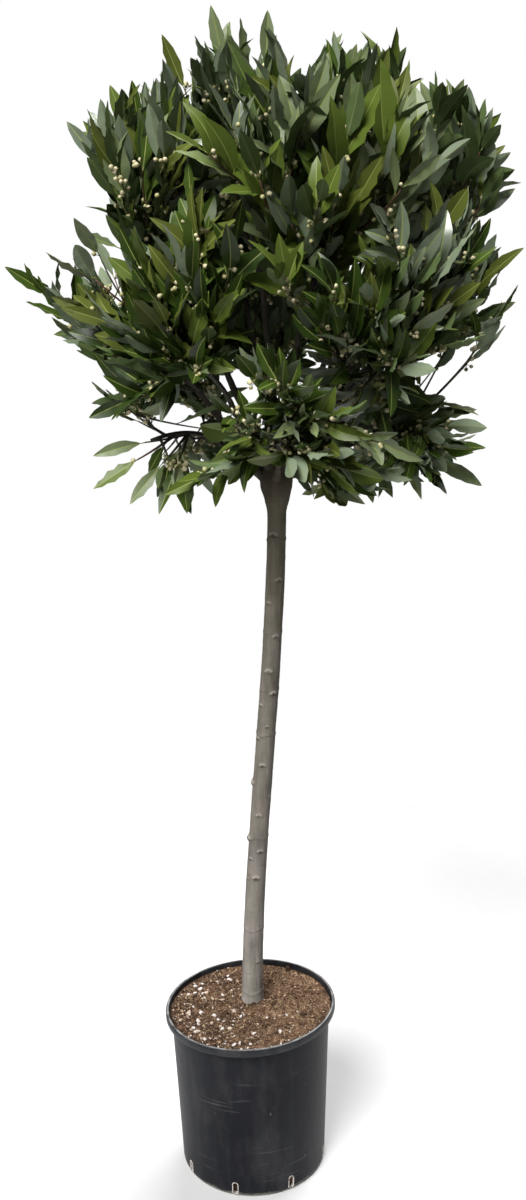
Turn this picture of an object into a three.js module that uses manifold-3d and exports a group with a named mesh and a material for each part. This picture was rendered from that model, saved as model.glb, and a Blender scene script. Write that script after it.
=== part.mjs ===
// A standard bay tree: a loose round head of leafy shoots on one clear stem, in a round nursery pot.
// Millimetres, +Z up, -Y the front. The origin is the centre of the pot's flat underside.
import * as THREE from "three";
import { mergeVertices } from "three/addons/utils/BufferGeometryUtils.js";
import Module from "manifold-3d";

const wasm = await Module();
wasm.setup();

const vec = (x, y, z) => new THREE.Vector3(x, y, z);
const UP = vec(0, 0, 1);
const rad = THREE.MathUtils.degToRad;
const { lerp, smoothstep, clamp } = THREE.MathUtils;

// ---------------------------------------------------------------- driving dimensions

const GAP = 0.3; // clearance where one solid rests on another

const POT = {
  height: 280,
  rimRadius: 139, // outside of the rolled rim
  rimDepth: 13,
  rimWidth: 5.5, // flat top of the rim, which is stepped out from the wall below it
  neckRadius: 129, // outside of the wall, just under the rim
  footRadius: 119,
  footRound: 9,
  slant: 0.035, // the soft rim stands a little higher on its right
  wall: 2.4,
  floor: 3,
  sides: 40,
};
const SLOTS = { count: 8, width: 8, height: 22, bottom: 4, firstAzimuth: 255.5, depth: 20 };

const SOIL = { level: 272, mound: 4, sides: 24, rings: 5, crumb: 1.6, seed: 5 };

const TRUNK = {
  foot: vec(3.5, 20, 272.5), // centre of the flat cut at the soil's surface
  lean: 57, // how far the head stands to the right of the foot
  leanEnds: 1117, // height where the lean has straightened again
  bow: 0.7, // how much of the lean is taken up in a slow bow, and not evenly
  top: 1206,
  footRadius: 16.6,
  upperRadius: 14.2,
  flare: 2.2, // root flare, added to the radius at the foot
  flareHeight: 45,
  fork: { starts: 1085, widest: 1142, swell: 10.5, topRadius: 12 },
  sides: 14,
};

const HEAD = {
  middle: vec(55, 10, 1430),
  halfWidth: 352,
  halfDepth: 340,
  rise: 326,
  drop: 326,
  roundAbove: 2.4, // exponent of the outline above its middle: a little squarer than an ellipse
  roundBelow: 4, // and below it, where the head is fuller
};

// Where the boughs spread from. Each mass of foliage keeps to the directions that lie nearest its own.
const HUB = vec(61, 20, 1200);

// Each tier is a ring of boughs. An elevation is that of its masses as seen from the hub, bare is how far its
// boughs run before their foliage starts, and reach is each mass's share of the head's outline.
const TIERS = [
  {
    name: "low",
    elevation: 3,
    firstAzimuth: 200,
    reach: [0.88, 0.98, 1.0, 0.98, 0.92],
    bare: 95,
    root: { height: 1124, radius: 7 },
    climb: -0.1,
    lift: -0.45,
    level: 0.85,
    shoots: 7,
  },
  {
    name: "middle",
    elevation: 30,
    firstAzimuth: 164,
    reach: [0.82, 0.93, 0.97, 0.99, 0.96],
    bare: 135,
    root: { height: 1150, radius: 7.5 },
    climb: 0.1,
    lift: 0.25,
    level: 1,
    shoots: 8,
  },
  {
    name: "high",
    elevation: 57,
    firstAzimuth: 200,
    reach: [0.95, 1.0, 1.07, 1.0],
    bare: 170,
    root: { height: 1176, radius: 7 },
    climb: 0.16,
    lift: 0.55,
    level: 1,
    shoots: 8,
  },
  {
    name: "top",
    elevation: 86,
    firstAzimuth: 180,
    reach: [1.0],
    bare: 200,
    root: { height: 1198, radius: 8 },
    climb: 0,
    lift: 0.9,
    level: 1,
    shoots: 8,
  },
];

// The shoots that stand out furthest, by their tips. Each belongs to the mass whose space it lies in.
const FURTHEST = [
  vec(-317, -10, 1455),
  vec(-288, -20, 1408),
  vec(-217, -10, 1649),
  vec(-155, -30, 1690),
  vec(-84, -30, 1750),
  vec(-14, -10, 1791),
  vec(25, 0, 1776),
  vec(62, 0, 1784),
  vec(160, 30, 1762),
  vec(198, 0, 1736),
  vec(240, 30, 1766),
  vec(330, 0, 1690),
  vec(378, 0, 1648),
  vec(388, 10, 1606),
  vec(400, -10, 1545),
  vec(409, -20, 1467),
  vec(412, 30, 1390),
  vec(350, -70, 1138),
  vec(298, -95, 1132),
  vec(343, -60, 1246),
  vec(-201, -70, 1147),
  vec(-200, -60, 1196),
  vec(-62, -90, 1113),
];

// Where the head is open to the sky from front to back: the middle and half sizes of each gap.
const OPENINGS = [
  { middle: vec(-282, 0, 1562), half: vec(112, 600, 82) },
  { middle: vec(-172, 0, 1450), half: vec(24, 600, 52) },
  { middle: vec(-268, 0, 1290), half: vec(78, 600, 50) },
  { middle: vec(-172, 0, 1210), half: vec(148, 600, 44) },
  { middle: vec(372, 0, 1300), half: vec(110, 600, 46) },
  { middle: vec(392, 0, 1222), half: vec(52, 600, 40) },
  { middle: vec(36, 0, 1738), half: vec(14, 600, 46) },
  { middle: vec(102, 0, 1748), half: vec(36, 600, 44) },
];

const BOUGH = { tipRadius: 4.2, sides: 6, steps: 4, outset: 0.45 };
const STEM = { share: 0.5, radius: 5.2, tipRadius: 4, sides: 3, steps: 2 };
const SHOOT = {
  radius: 3.1,
  tipRadius: 2.4,
  sides: 3,
  steps: 2,
  shallowest: 0.9, // least share of the outline that a shoot's tip comes out to
  facesAtMost: 36, // what fusing a shoot on may add
  tries: 50, // places tried for each shoot, of which the loneliest is kept
};
const LEAF = {
  length: 120,
  varies: 12,
  least: 0.74, // a leaf short of room may be this share of its full length
  slim: 0.41, // width for each unit of length
  widest: 0.44, // where the blade is widest, as a share of its length
  spacing: 31,
  splay: rad(52), // from the shoot it grows on
  fold: 0.1, // how far the edges stand above the midrib, for each unit of width
  droop: 0.05,
  footDepth: 2.6, // thickness at the foot, where it is fused on
  sink: 0.2, // how far the foot reaches past the shoot's axis
  overreach: 0.03, // how far the corners of a shoot's last leaf may pass the outline
  facesAtMost: 24, // what fusing a leaf on may add
  stray: rad(14), // from the middle of the face of the shoot that it grows on
  tries: 40, // ways round its shoot that a leaf is tried before it is left out
};
const BUDS = { perMass: 2, radius: 5.2, stands: 3.5, facesAtMost: 30 }; // clusters of flower buds in the leaf axils

const CLEARANCE = { betweenMasses: 2.5, fromLimbs: 7 };

const COLOURS = {
  pot: { color: 0x2e2f34, roughness: 0.55 },
  soil: { color: 0x6b4f3c, roughness: 1 },
  bark: { color: 0x857e74, roughness: 0.85 },
  bough: { color: 0x4a4436, roughness: 0.8 },
  leaf: { color: 0x42521f, roughness: 0.45 },
};
const MATERIALS = Object.fromEntries(
  Object.entries(COLOURS).map(([name, look]) => [
    name,
    new THREE.MeshStandardMaterial({ ...look, metalness: 0 }),
  ]),
);

// ---------------------------------------------------------------- solids and lofts

function seeded(seed) {
  let state = seed >>> 0;
  return () => {
    state = (state + 0x6d2b79f5) >>> 0;
    let t = Math.imul(state ^ (state >>> 15), state | 1);
    t ^= t + Math.imul(t ^ (t >>> 7), t | 61);
    return ((t ^ (t >>> 14)) >>> 0) / 4294967296;
  };
}

// A closed three.js geometry as a solid that can be joined and cut.
function solidOf(geometry) {
  const bare = new THREE.BufferGeometry();
  bare.setAttribute("position", geometry.getAttribute("position"));
  bare.setIndex(geometry.index);
  const merged = mergeVertices(bare, 1e-3);
  const corners = [];
  const index = merged.index.array;
  for (let i = 0; i < index.length; i += 3) {
    const [a, b, c] = [index[i], index[i + 1], index[i + 2]];
    if (a !== b && b !== c && c !== a) corners.push(a, b, c);
  }
  return new wasm.Manifold(
    new wasm.Mesh({
      numProp: 3,
      vertProperties: merged.getAttribute("position").array,
      triVerts: new Uint32Array(corners),
    }),
  );
}

function geometryOf(solid) {
  const mesh = solid.getMesh();
  const geometry = new THREE.BufferGeometry();
  geometry.setAttribute("position", new THREE.BufferAttribute(mesh.vertProperties, 3));
  geometry.setIndex(new THREE.BufferAttribute(mesh.triVerts, 1));
  geometry.computeVertexNormals();
  return geometry;
}

function largestBody(solid) {
  return solid.decompose().reduce((best, body) => (body.volume() > best.volume() ? body : best));
}

// A closed skin over a stack of rings, each with as many corners and turning anticlockwise seen from the last.
function loft(rings) {
  const sides = rings[0].length;
  const corners = [];
  for (let k = 0; k + 1 < rings.length; k++) {
    for (let i = 0; i < sides; i++) {
      const a = k * sides + i;
      const b = k * sides + ((i + 1) % sides);
      corners.push(a, b, b + sides, a, b + sides, a + sides);
    }
  }
  const last = (rings.length - 1) * sides;
  for (let i = 1; i + 1 < sides; i++) {
    corners.push(0, i + 1, i);
    corners.push(last, last + i, last + i + 1);
  }
  const geometry = new THREE.BufferGeometry().setFromPoints(rings.flat());
  geometry.setIndex(corners);
  return solidOf(geometry);
}

function ring(centre, across, along, radius, sides) {
  return Array.from({ length: sides }, (_, i) => {
    const angle = (2 * Math.PI * i) / sides;
    return centre
      .clone()
      .addScaledVector(across, radius * Math.cos(angle))
      .addScaledVector(along, radius * Math.sin(angle));
  });
}

// A round limb along a curve, cut square at both ends, tapering evenly.
function limb(curve, steps, sides, startRadius, endRadius) {
  const frames = curve.computeFrenetFrames(steps, false);
  const rings = frames.tangents.map((_, k) =>
    ring(
      curve.getPointAt(k / steps),
      frames.normals[k],
      frames.binormals[k],
      lerp(startRadius, endRadius, k / steps),
      sides,
    ),
  );
  return loft(rings);
}

// ---------------------------------------------------------------- pot and soil

function potProfile() {
  const { height, rimRadius, rimDepth, rimWidth, neckRadius, footRadius, footRound, wall, floor } = POT;
  const lip = 2.5; // rounding of the rim
  const inner = rimRadius - rimWidth;
  const outline = new THREE.Path();
  outline.moveTo(0, 0);
  outline.lineTo(footRadius - footRound, 0);
  outline.quadraticCurveTo(footRadius, 0, footRadius, footRound);
  outline.lineTo(neckRadius, height - rimDepth);
  outline.lineTo(rimRadius - 1, height - rimDepth);
  outline.lineTo(rimRadius, height - rimDepth + lip);
  outline.lineTo(rimRadius, height - lip);
  outline.lineTo(rimRadius - lip, height);
  outline.lineTo(inner, height);
  outline.lineTo(inner, height - rimDepth + wall);
  outline.lineTo(neckRadius - wall, height - rimDepth - 1);
  outline.lineTo(footRadius - wall, footRound);
  outline.lineTo(footRadius - footRound, floor);
  outline.lineTo(0, floor);
  return outline.getPoints(3);
}

// How much a point of the pot or of its filling is raised by the slant of the rim.
function slantAt(x, z) {
  return POT.slant * x * (z / POT.height) ** 2;
}

function turned(points, sides) {
  const geometry = new THREE.LatheGeometry(points, sides).rotateX(Math.PI / 2);
  const place = geometry.getAttribute("position");
  for (let i = 0; i < place.count; i++) {
    place.setZ(i, place.getZ(i) + slantAt(place.getX(i), place.getZ(i)));
  }
  return solidOf(geometry);
}

// A drainage slot with a round top, standing out through the wall at its azimuth.
function slotCutter(azimuth) {
  const half = SLOTS.width / 2;
  const straight = SLOTS.height - SLOTS.width;
  const shape = new THREE.Shape();
  shape.absarc(0, half + straight, half, 0, Math.PI);
  shape.absarc(0, half, half, Math.PI, 2 * Math.PI);
  const cutter = new THREE.ExtrudeGeometry(shape, {
    depth: SLOTS.depth,
    bevelEnabled: false,
    curveSegments: 3,
  });
  cutter.rotateX(Math.PI / 2).rotateZ(azimuth + Math.PI / 2);
  const out = POT.footRadius + SLOTS.depth / 2;
  return solidOf(
    cutter.translate(out * Math.cos(azimuth), out * Math.sin(azimuth), SLOTS.bottom),
  );
}

function makePot() {
  let pot = turned(potProfile(), POT.sides);
  for (let k = 0; k < SLOTS.count; k++) {
    const azimuth = rad(SLOTS.firstAzimuth) + (2 * Math.PI * k) / SLOTS.count;
    pot = pot.subtract(slotCutter(azimuth));
  }
  return pot;
}

// The rooted compost fills the pot to a crumbly, slightly mounded surface, with a seat for the trunk's foot.
function makeSoil() {
  const random = seeded(SOIL.seed);
  const inside = (z) =>
    lerp(
      POT.footRadius - POT.wall,
      POT.neckRadius - POT.wall,
      clamp((z - POT.footRound) / (POT.height - POT.rimDepth - POT.footRound), 0, 1),
    ) - GAP / Math.cos(Math.PI / SOIL.sides) - 0.2;
  const flat = Math.cos(Math.PI / POT.sides); // the pot's faces stand this much nearer than its corners
  const ledge = POT.height - POT.rimDepth - 1.5;
  const edge = (POT.rimRadius - POT.rimWidth - GAP) * flat - GAP;
  const circle = (radius, z, roughness) =>
    Array.from({ length: SOIL.sides }, (_, i) => {
      const angle = (2 * Math.PI * i) / SOIL.sides;
      const x = radius * Math.cos(angle);
      const height = z + roughness * (2 * random() - 1);
      return vec(x, radius * Math.sin(angle), height + slantAt(x, height));
    });
  const floor = POT.floor + GAP;
  const rings = [
    circle(POT.footRadius - POT.footRound - 1, floor, 0),
    circle((inside(POT.footRound) - 1.5) * flat, POT.footRound + 2, 0),
    circle(inside(ledge) * flat, ledge, 0),
    circle(edge, SOIL.level - 1, 0),
  ];
  for (let k = SOIL.rings - 1; k > 0; k--) {
    const share = k / SOIL.rings;
    const rise = SOIL.mound * (1 - share) ** 1.5;
    rings.push(circle(edge * share, SOIL.level + rise, SOIL.crumb));
  }
  return loft(rings).subtract(trunkSolid(GAP, GAP));
}

// ---------------------------------------------------------------- trunk

function trunkAxis(z) {
  const { foot, lean, leanEnds, bow } = TRUNK;
  const share = clamp((z - foot.z) / (leanEnds - foot.z), 0, 1);
  return vec(foot.x + lean * lerp(share, smoothstep(share, 0, 1), bow), foot.y, z);
}

function trunkRadius(z) {
  const { foot, top, footRadius, upperRadius, flare, flareHeight, fork } = TRUNK;
  const taper = lerp(footRadius, upperRadius, clamp((z - foot.z) / (fork.starts - foot.z), 0, 1));
  const spread = flare * Math.exp((foot.z - z) / flareHeight);
  if (z < fork.widest) return taper + spread + fork.swell * smoothstep(z, fork.starts, fork.widest);
  return lerp(upperRadius + fork.swell, fork.topRadius, smoothstep(z, fork.widest, top));
}

// The trunk, grown all round by a clearance and lengthened downwards by another, so that it can cut its seats.
function trunkSolid(grown, lower) {
  const { foot, top, fork, sides } = TRUNK;
  const heights = [0, 14, 34, 70, 140, 230, 330, 430, 530, 630, 730].map((rise) => foot.z + rise);
  heights.push(fork.starts - 25, fork.starts, 1100, 1114, 1128, fork.widest, 1158, 1178, top + grown);
  heights[0] -= lower;
  const across = vec(1, 0, 0);
  const along = vec(0, 1, 0);
  return loft(heights.map((z) => ring(trunkAxis(z), across, along, trunkRadius(z) + grown, sides)));
}

// ---------------------------------------------------------------- the head's plan

// 1 on the head's outline, less inside it.
function outlineShare(point) {
  const { middle, halfWidth, halfDepth, rise, drop, roundAbove, roundBelow } = HEAD;
  const away = point.clone().sub(middle);
  const level = Math.hypot(away.x / halfWidth, away.y / halfDepth);
  const upright = away.z > 0 ? away.z / rise : -away.z / drop;
  const power = away.z > 0 ? roundAbove : roundBelow;
  return (level ** power + upright ** power) ** (1 / power);
}

// How far the outline lies from the hub along a direction, for a mass that reaches a share of it.
function outlineDistance(direction, reach) {
  let [near, far] = [0, 900];
  for (let k = 0; k < 20; k++) {
    const middle = (near + far) / 2;
    const point = HUB.clone().addScaledVector(direction, middle);
    if (outlineShare(point) < reach) near = middle;
    else far = middle;
  }
  return near;
}

function heading(azimuth, elevation) {
  const level = Math.cos(elevation);
  return vec(level * Math.cos(azimuth), level * Math.sin(azimuth), Math.sin(elevation));
}

function planHead() {
  return TIERS.flatMap((tier, t) =>
    tier.reach.map((reach, k) => {
      const azimuth = rad(tier.firstAzimuth) + (2 * Math.PI * k) / tier.reach.length;
      const axis = heading(azimuth, rad(tier.elevation));
      return {
        name: `${tier.name}_${k + 1}`,
        tier,
        reach,
        axis,
        azimuth,
        entry: HUB.clone().addScaledVector(axis, tier.bare),
        seed: 100 * (t + 1) + k,
      };
    }),
  );
}

const masses = planHead();

// How far inside its own mass's space a point lies: negative beyond the plane half way to a neighbour.
function depthInCell(mass, point) {
  const away = point.clone().sub(HUB);
  let least = Infinity;
  for (const other of masses) {
    if (other === mass) continue;
    const across = mass.axis.clone().sub(other.axis).normalize();
    least = Math.min(least, away.dot(across));
  }
  return least;
}

// ---------------------------------------------------------------- boughs

function boughCurve(mass) {
  const { root, climb } = mass.tier;
  const start = trunkAxis(root.height);
  const span = mass.entry.distanceTo(start);
  const turn = start
    .clone()
    .lerp(mass.entry, BOUGH.outset)
    .addScaledVector(UP, -climb * span);
  return new THREE.QuadraticBezierCurve3(start, turn, mass.entry);
}

function makeBough(mass, trunkSeat) {
  const bough = limb(
    boughCurve(mass),
    BOUGH.steps,
    BOUGH.sides,
    mass.tier.root.radius,
    BOUGH.tipRadius,
  );
  return largestBody(bough.subtract(trunkSeat));
}

// Every limb that foliage keeps clear of, as short straight lengths with a radius.
function limbLengths() {
  const lengths = [];
  const addLengths = (points, radiusAt, owner) => {
    for (let k = 0; k + 1 < points.length; k++) {
      lengths.push({ line: new THREE.Line3(points[k], points[k + 1]), radius: radiusAt(k), owner });
    }
  };
  const trunkPoints = [1000, 1060, 1090, 1110, 1142, 1175, TRUNK.top].map(trunkAxis);
  addLengths(trunkPoints, (k) => trunkRadius(trunkPoints[k + 1].z), null);
  for (const mass of masses) {
    const points = boughCurve(mass).getSpacedPoints(BOUGH.steps);
    const { radius } = mass.tier.root;
    addLengths(points, (k) => lerp(radius, BOUGH.tipRadius, k / BOUGH.steps), mass);
  }
  return lengths;
}

const limbs = limbLengths();
const nearest = new THREE.Vector3();

// Whether points keep a clearance from every limb.
function clearOfLimbs(points, clearance) {
  return points.every((point) =>
    limbs.every(({ line, radius }) => {
      line.closestPointToPoint(point, true, nearest);
      return nearest.distanceTo(point) > radius + clearance;
    }),
  );
}

function inAnOpening(point) {
  return OPENINGS.some(({ middle, half }) => point.clone().sub(middle).divide(half).length() < 1);
}

function keepsToItsSpace(mass, points, reach) {
  return (
    points.every((point) => outlineShare(point) <= reach + 0.004) &&
    points.every((point) => depthInCell(mass, point) >= CLEARANCE.betweenMasses / 2)
  );
}

// ---------------------------------------------------------------- foliage

function stemCurve(mass) {
  const reach = outlineDistance(mass.axis, mass.reach) - mass.tier.bare;
  const heading = boughCurve(mass).getTangentAt(1);
  const start = mass.entry.clone().addScaledVector(heading, GAP);
  const middle = start.clone().addScaledVector(heading, (reach * STEM.share) / 2);
  const end = mass.entry.clone().addScaledVector(mass.axis, reach * STEM.share);
  return new THREE.QuadraticBezierCurve3(start, middle, end);
}

// A shoot forks off the stem and turns up towards the light. Its last leaf reaches on to the tip.
function shootCurve(mass, stem, share, tip) {
  const start = stem.getPointAt(share);
  const end = tip.clone().sub(start);
  end.setLength(Math.max(end.length() - LEAF.length, LEAF.length / 4)).add(start);
  const turn = start
    .clone()
    .lerp(end, 0.5)
    .addScaledVector(UP, -(0.06 + 0.2 * Math.max(mass.tier.lift, 0)) * start.distanceTo(end));
  return new THREE.QuadraticBezierCurve3(start, turn, end);
}

// What has grown with one more piece fused on, or null where that piece would cross more than what carries it.
function fused(grown, piece, facesAtMost) {
  const joined = grown.add(piece);
  return joined.numTri() - grown.numTri() <= facesAtMost ? joined : null;
}

// Shoots whose tips are spread over the mass's part of the outline, each as far as it can be from the rest.
function growShoots(mass, plant, random, taken) {
  const stem = stemCurve(mass);
  plant.solid = limb(stem, STEM.steps, STEM.sides, STEM.radius, STEM.tipRadius);
  const furthest = FURTHEST.filter((tip) => depthInCell(mass, tip) >= CLEARANCE.betweenMasses);
  const shoots = [];
  for (let k = 0; k < mass.tier.shoots; k++) {
    const reach = Math.max(mass.reach, k < furthest.length ? outlineShare(furthest[k]) : 0);
    let best = null;
    for (let n = 0; n < SHOOT.tries; n++) {
      const aside = vec(2 * random() - 1, 2 * random() - 1, 2 * random() - 1).multiplyScalar(0.65);
      const direction = mass.axis.clone().add(aside).normalize();
      const share = lerp(SHOOT.shallowest, 1, Math.sqrt(random()));
      const spread = HUB.clone().addScaledVector(direction, outlineDistance(direction, reach) * share);
      const tip = furthest[k] ?? spread;
      if (depthInCell(mass, tip) < CLEARANCE.betweenMasses) continue;
      if (!furthest[k] && inAnOpening(tip)) continue;
      const room = Math.min(...taken.map((other) => other.distanceTo(tip)), 1e3);
      if (best && room <= best.room) continue;
      const curve = shootCurve(mass, stem, lerp(0.1, 0.95, random()), tip);
      const along = curve.getSpacedPoints(6).slice(1);
      if (!keepsToItsSpace(mass, along, reach)) continue;
      if (!clearOfLimbs(along, SHOOT.radius + 1)) continue;
      const twig = limb(curve, SHOOT.steps, SHOOT.sides, SHOOT.radius, SHOOT.tipRadius);
      const facesAtMost = furthest[k] ? 2 * SHOOT.facesAtMost : SHOOT.facesAtMost;
      const solid = fused(plant.solid, twig, facesAtMost);
      if (solid) best = { tip, curve, reach, room, solid };
    }
    if (!best) continue;
    plant.solid = best.solid;
    taken.push(best.tip);
    shoots.push(best);
  }
  return shoots;
}

// A leaf: two corners at its foot, one above the other, one on each edge where it is widest, and the tip. It is
// folded along its midrib, and thins from its foot to its tip and edges.
function leafAt(foot, direction, face, length) {
  const across = direction.clone().cross(face).normalize();
  const normal = across.clone().cross(direction).normalize();
  const width = length * LEAF.slim;
  const at = (along, side, above) =>
    foot
      .clone()
      .addScaledVector(direction, along)
      .addScaledVector(across, side)
      .addScaledVector(normal, above);
  const top = at(0, 0, LEAF.footDepth / 2);
  const bottom = at(0, 0, -LEAF.footDepth / 2);
  const left = at(LEAF.widest * length, -width / 2, LEAF.fold * width);
  const right = at(LEAF.widest * length, width / 2, LEAF.fold * width);
  const tip = at(length, 0, -LEAF.droop * length);
  return { top, bottom, left, right, tip };
}

function leafSolid({ top, bottom, left, right, tip }) {
  const geometry = new THREE.BufferGeometry().setFromPoints([top, bottom, left, right, tip]);
  const upper = [0, 4, 2, 0, 3, 4];
  const under = [1, 2, 4, 1, 4, 3];
  const foot = [0, 2, 1, 0, 1, 3];
  geometry.setIndex([...upper, ...under, ...foot]);
  return solidOf(geometry);
}

// Points spread over a leaf, close enough together that no limb passes between them.
function leafPoints({ top, left, right, tip }) {
  const middle = top.clone().lerp(tip, LEAF.widest);
  const points = [tip, left, right, middle];
  for (const share of [0.35, 0.7]) {
    for (const edge of [left, middle, right]) {
      points.push(top.clone().lerp(edge, share), tip.clone().lerp(edge, share));
    }
  }
  return points;
}

// Square to one of a shoot's faces, or straying from that by an angle round the shoot.
function faceNormal({ tangents, normals, binormals }, share, face, stray) {
  const k = Math.min(Math.floor(share * SHOOT.steps), SHOOT.steps - 1);
  const angle = ((face % SHOOT.sides) + 0.5) * ((2 * Math.PI) / SHOOT.sides) + stray;
  return normals[k]
    .clone()
    .multiplyScalar(Math.cos(angle))
    .addScaledVector(binormals[k], Math.sin(angle))
    .projectOnPlane(tangents[k])
    .normalize();
}

// The leaves of one shoot: alternate ones up its length, and a last one that carries on to the shoot's tip.
function growLeaves(mass, { curve, tip, reach }, plant, random) {
  const frames = curve.computeFrenetFrames(SHOOT.steps, false);
  const count = Math.max(3, Math.round(curve.getLength() / LEAF.spacing));
  for (let k = 0; k <= count; k++) {
    for (let n = 0; n < LEAF.tries; n++) {
      const share = k === count ? lerp(0.84, 0.96, random()) : lerp(0.12, 0.96, (k + random()) / count);
      const along = curve.getTangentAt(share);
      const point = curve.getPointAt(share);
      const side = faceNormal(frames, share, 2 * k + n, LEAF.stray * (2 * random() - 1));
      const splay = LEAF.splay * lerp(0.7, 1.2, random());
      const shrunk = lerp(1, LEAF.least, n / LEAF.tries);
      const length = (LEAF.length + LEAF.varies * (2 * random() - 1)) * shrunk;
      const roll = vec(random() - 0.5, random() - 0.5, random() - 0.5);
      const direction = along
        .clone()
        .multiplyScalar(Math.cos(splay))
        .addScaledVector(side, Math.sin(splay))
        .addScaledVector(UP, mass.tier.lift * 0.5);
      direction.z *= mass.tier.level;
      direction.normalize();
      const leads = k === count && n < LEAF.tries / 2;
      if (leads) direction.copy(tip).sub(point).normalize();
      const face = point
        .clone()
        .sub(HEAD.middle)
        .normalize()
        .addScaledVector(UP, 0.5)
        .addScaledVector(roll, 0.8);
      const foot = point.clone().addScaledVector(direction, -LEAF.sink);
      const leaf = leafAt(foot, direction, face, leads ? foot.distanceTo(tip) : length);
      const points = leafPoints(leaf);
      if (!keepsToItsSpace(mass, points, leads ? reach + LEAF.overreach : reach)) continue;
      if (!leads && points.slice(0, 4).some(inAnOpening)) continue;
      if (!clearOfLimbs(points, CLEARANCE.fromLimbs)) continue;
      const facesAtMost = leads ? 2 * LEAF.facesAtMost : LEAF.facesAtMost;
      const solid = fused(plant.solid, leafSolid(leaf), facesAtMost);
      if (!solid) continue;
      plant.solid = solid;
      plant.axils.push(point.clone().addScaledVector(side, -BUDS.stands));
      break;
    }
  }
}

function growBuds(mass, plant) {
  const every = Math.max(1, Math.floor(plant.axils.length / BUDS.perMass));
  const chosen = plant.axils.filter((_, k) => k % every === Math.floor(every / 2));
  for (const { x, y, z } of chosen) {
    const bud = solidOf(new THREE.OctahedronGeometry(BUDS.radius).translate(x, y, z));
    plant.solid = fused(plant.solid, bud, BUDS.facesAtMost) ?? plant.solid;
  }
}

function growMass(mass, taken) {
  const random = seeded(mass.seed);
  const plant = { solid: null, axils: [] };
  for (const shoot of growShoots(mass, plant, random, taken)) {
    growLeaves(mass, shoot, plant, random);
  }
  growBuds(mass, plant);
  return largestBody(plant.solid);
}

// ---------------------------------------------------------------- assembly

const bayTree = new THREE.Group();

function addNode(name, solid, material) {
  const mesh = new THREE.Mesh(geometryOf(solid), MATERIALS[material]);
  mesh.name = name;
  bayTree.add(mesh);
}

addNode("pot", makePot(), "pot");
addNode("soil", makeSoil(), "soil");
addNode("trunk", trunkSolid(0, 0), "bark");

const trunkSeat = trunkSolid(GAP, 0);
for (const mass of masses) addNode(`bough_${mass.name}`, makeBough(mass, trunkSeat), "bough");

const taken = [];
for (const mass of masses) addNode(`foliage_${mass.name}`, growMass(mass, taken), "leaf");

export default bayTree;
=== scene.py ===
# A standard bay tree in a nursery pot: its looks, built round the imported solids.
# Lengths in the growing rule are millimetres, as in the part's source. Meshes are in metres.
import math

import bpy
import numpy as np
from mathutils import Matrix, Vector, noise


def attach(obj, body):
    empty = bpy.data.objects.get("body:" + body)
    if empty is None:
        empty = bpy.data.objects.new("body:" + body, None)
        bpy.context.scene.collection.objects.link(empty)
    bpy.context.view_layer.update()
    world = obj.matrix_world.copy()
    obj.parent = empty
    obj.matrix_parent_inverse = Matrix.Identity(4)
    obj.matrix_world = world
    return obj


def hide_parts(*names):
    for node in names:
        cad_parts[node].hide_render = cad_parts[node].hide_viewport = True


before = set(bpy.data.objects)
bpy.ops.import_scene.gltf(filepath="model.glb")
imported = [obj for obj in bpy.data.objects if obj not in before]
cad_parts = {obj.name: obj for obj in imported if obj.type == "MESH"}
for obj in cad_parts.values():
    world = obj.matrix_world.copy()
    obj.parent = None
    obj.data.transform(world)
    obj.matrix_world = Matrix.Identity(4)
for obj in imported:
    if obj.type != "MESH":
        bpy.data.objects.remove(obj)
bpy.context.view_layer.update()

MM = 0.001
UP = np.array([0.0, 0.0, 1.0])
rad = math.radians

# ---------------------------------------------------------------- sizes, as in the part's source

POT = {
    "height": 280,
    "rim_radius": 139,
    "rim_depth": 13,
    "rim_width": 5.5,
    "neck_radius": 129,
    "foot_radius": 119,
    "foot_round": 9,
    "slant": 0.035,
    "wall": 2.4,
    "floor": 3,
    "sides": 144,
}
SLOTS = {"count": 8, "width": 8, "height": 22, "bottom": 4, "first_azimuth": 255.5}
# How the wall gives at the rim: so many waves round it, how deep, and from where.
GIVE = [(2, 0.0035, 0.6), (5, 0.0018, 1.1)]
MOST_GIVE = 1.002
# A thin band on top of the rim that is painted pale, a painted highlight: how far in it lies, and how
# wide.
BROW = {"inset": 3.2, "half_width": 0.7}
LIP = {"outset": 0.0006, "radius": 0.0009, "flatness": 0.7}
SOIL = {
    "level": 272,
    "mound": 4,
    "dome": 1.3,
    "sides": 180,
    "rings": 58,
    "clods": (0.028, 3.0),  # how close together they are, and how high
    "crumbs": (0.16, 2.4),
}
LUMP = {
    "inset": 4,
    "from_stem": 21,
    "mostly_small": 2.2,
    "knocked": 0.3,  # how far out of round, and between which bounds
    "bounds": (0.5, 1.5),
    "stretch": (0.6, 1.2),
}
FIBRE = {
    "inset": 9,
    "from_stem": 24,
    "length": (5, 15),
    "bent": 0.5,
    "radius": (0.25, 0.5),
    "tip_radius": 0.2,
    "lifted": 1.0,
    "arch": 1.4,
}

TRUNK = {
    "foot": np.array([3.5, 20.0, 272.5]),
    "lean": 57,
    "lean_ends": 1117,
    "bow": 0.7,
    "top": 1206,
    "foot_radius": 16.6,
    "upper_radius": 14.2,
    "flare": 2.2,
    "flare_height": 45,
}
FORK = {"starts": 1085, "widest": 1142, "swell": 10.5, "top_radius": 12}

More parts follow.
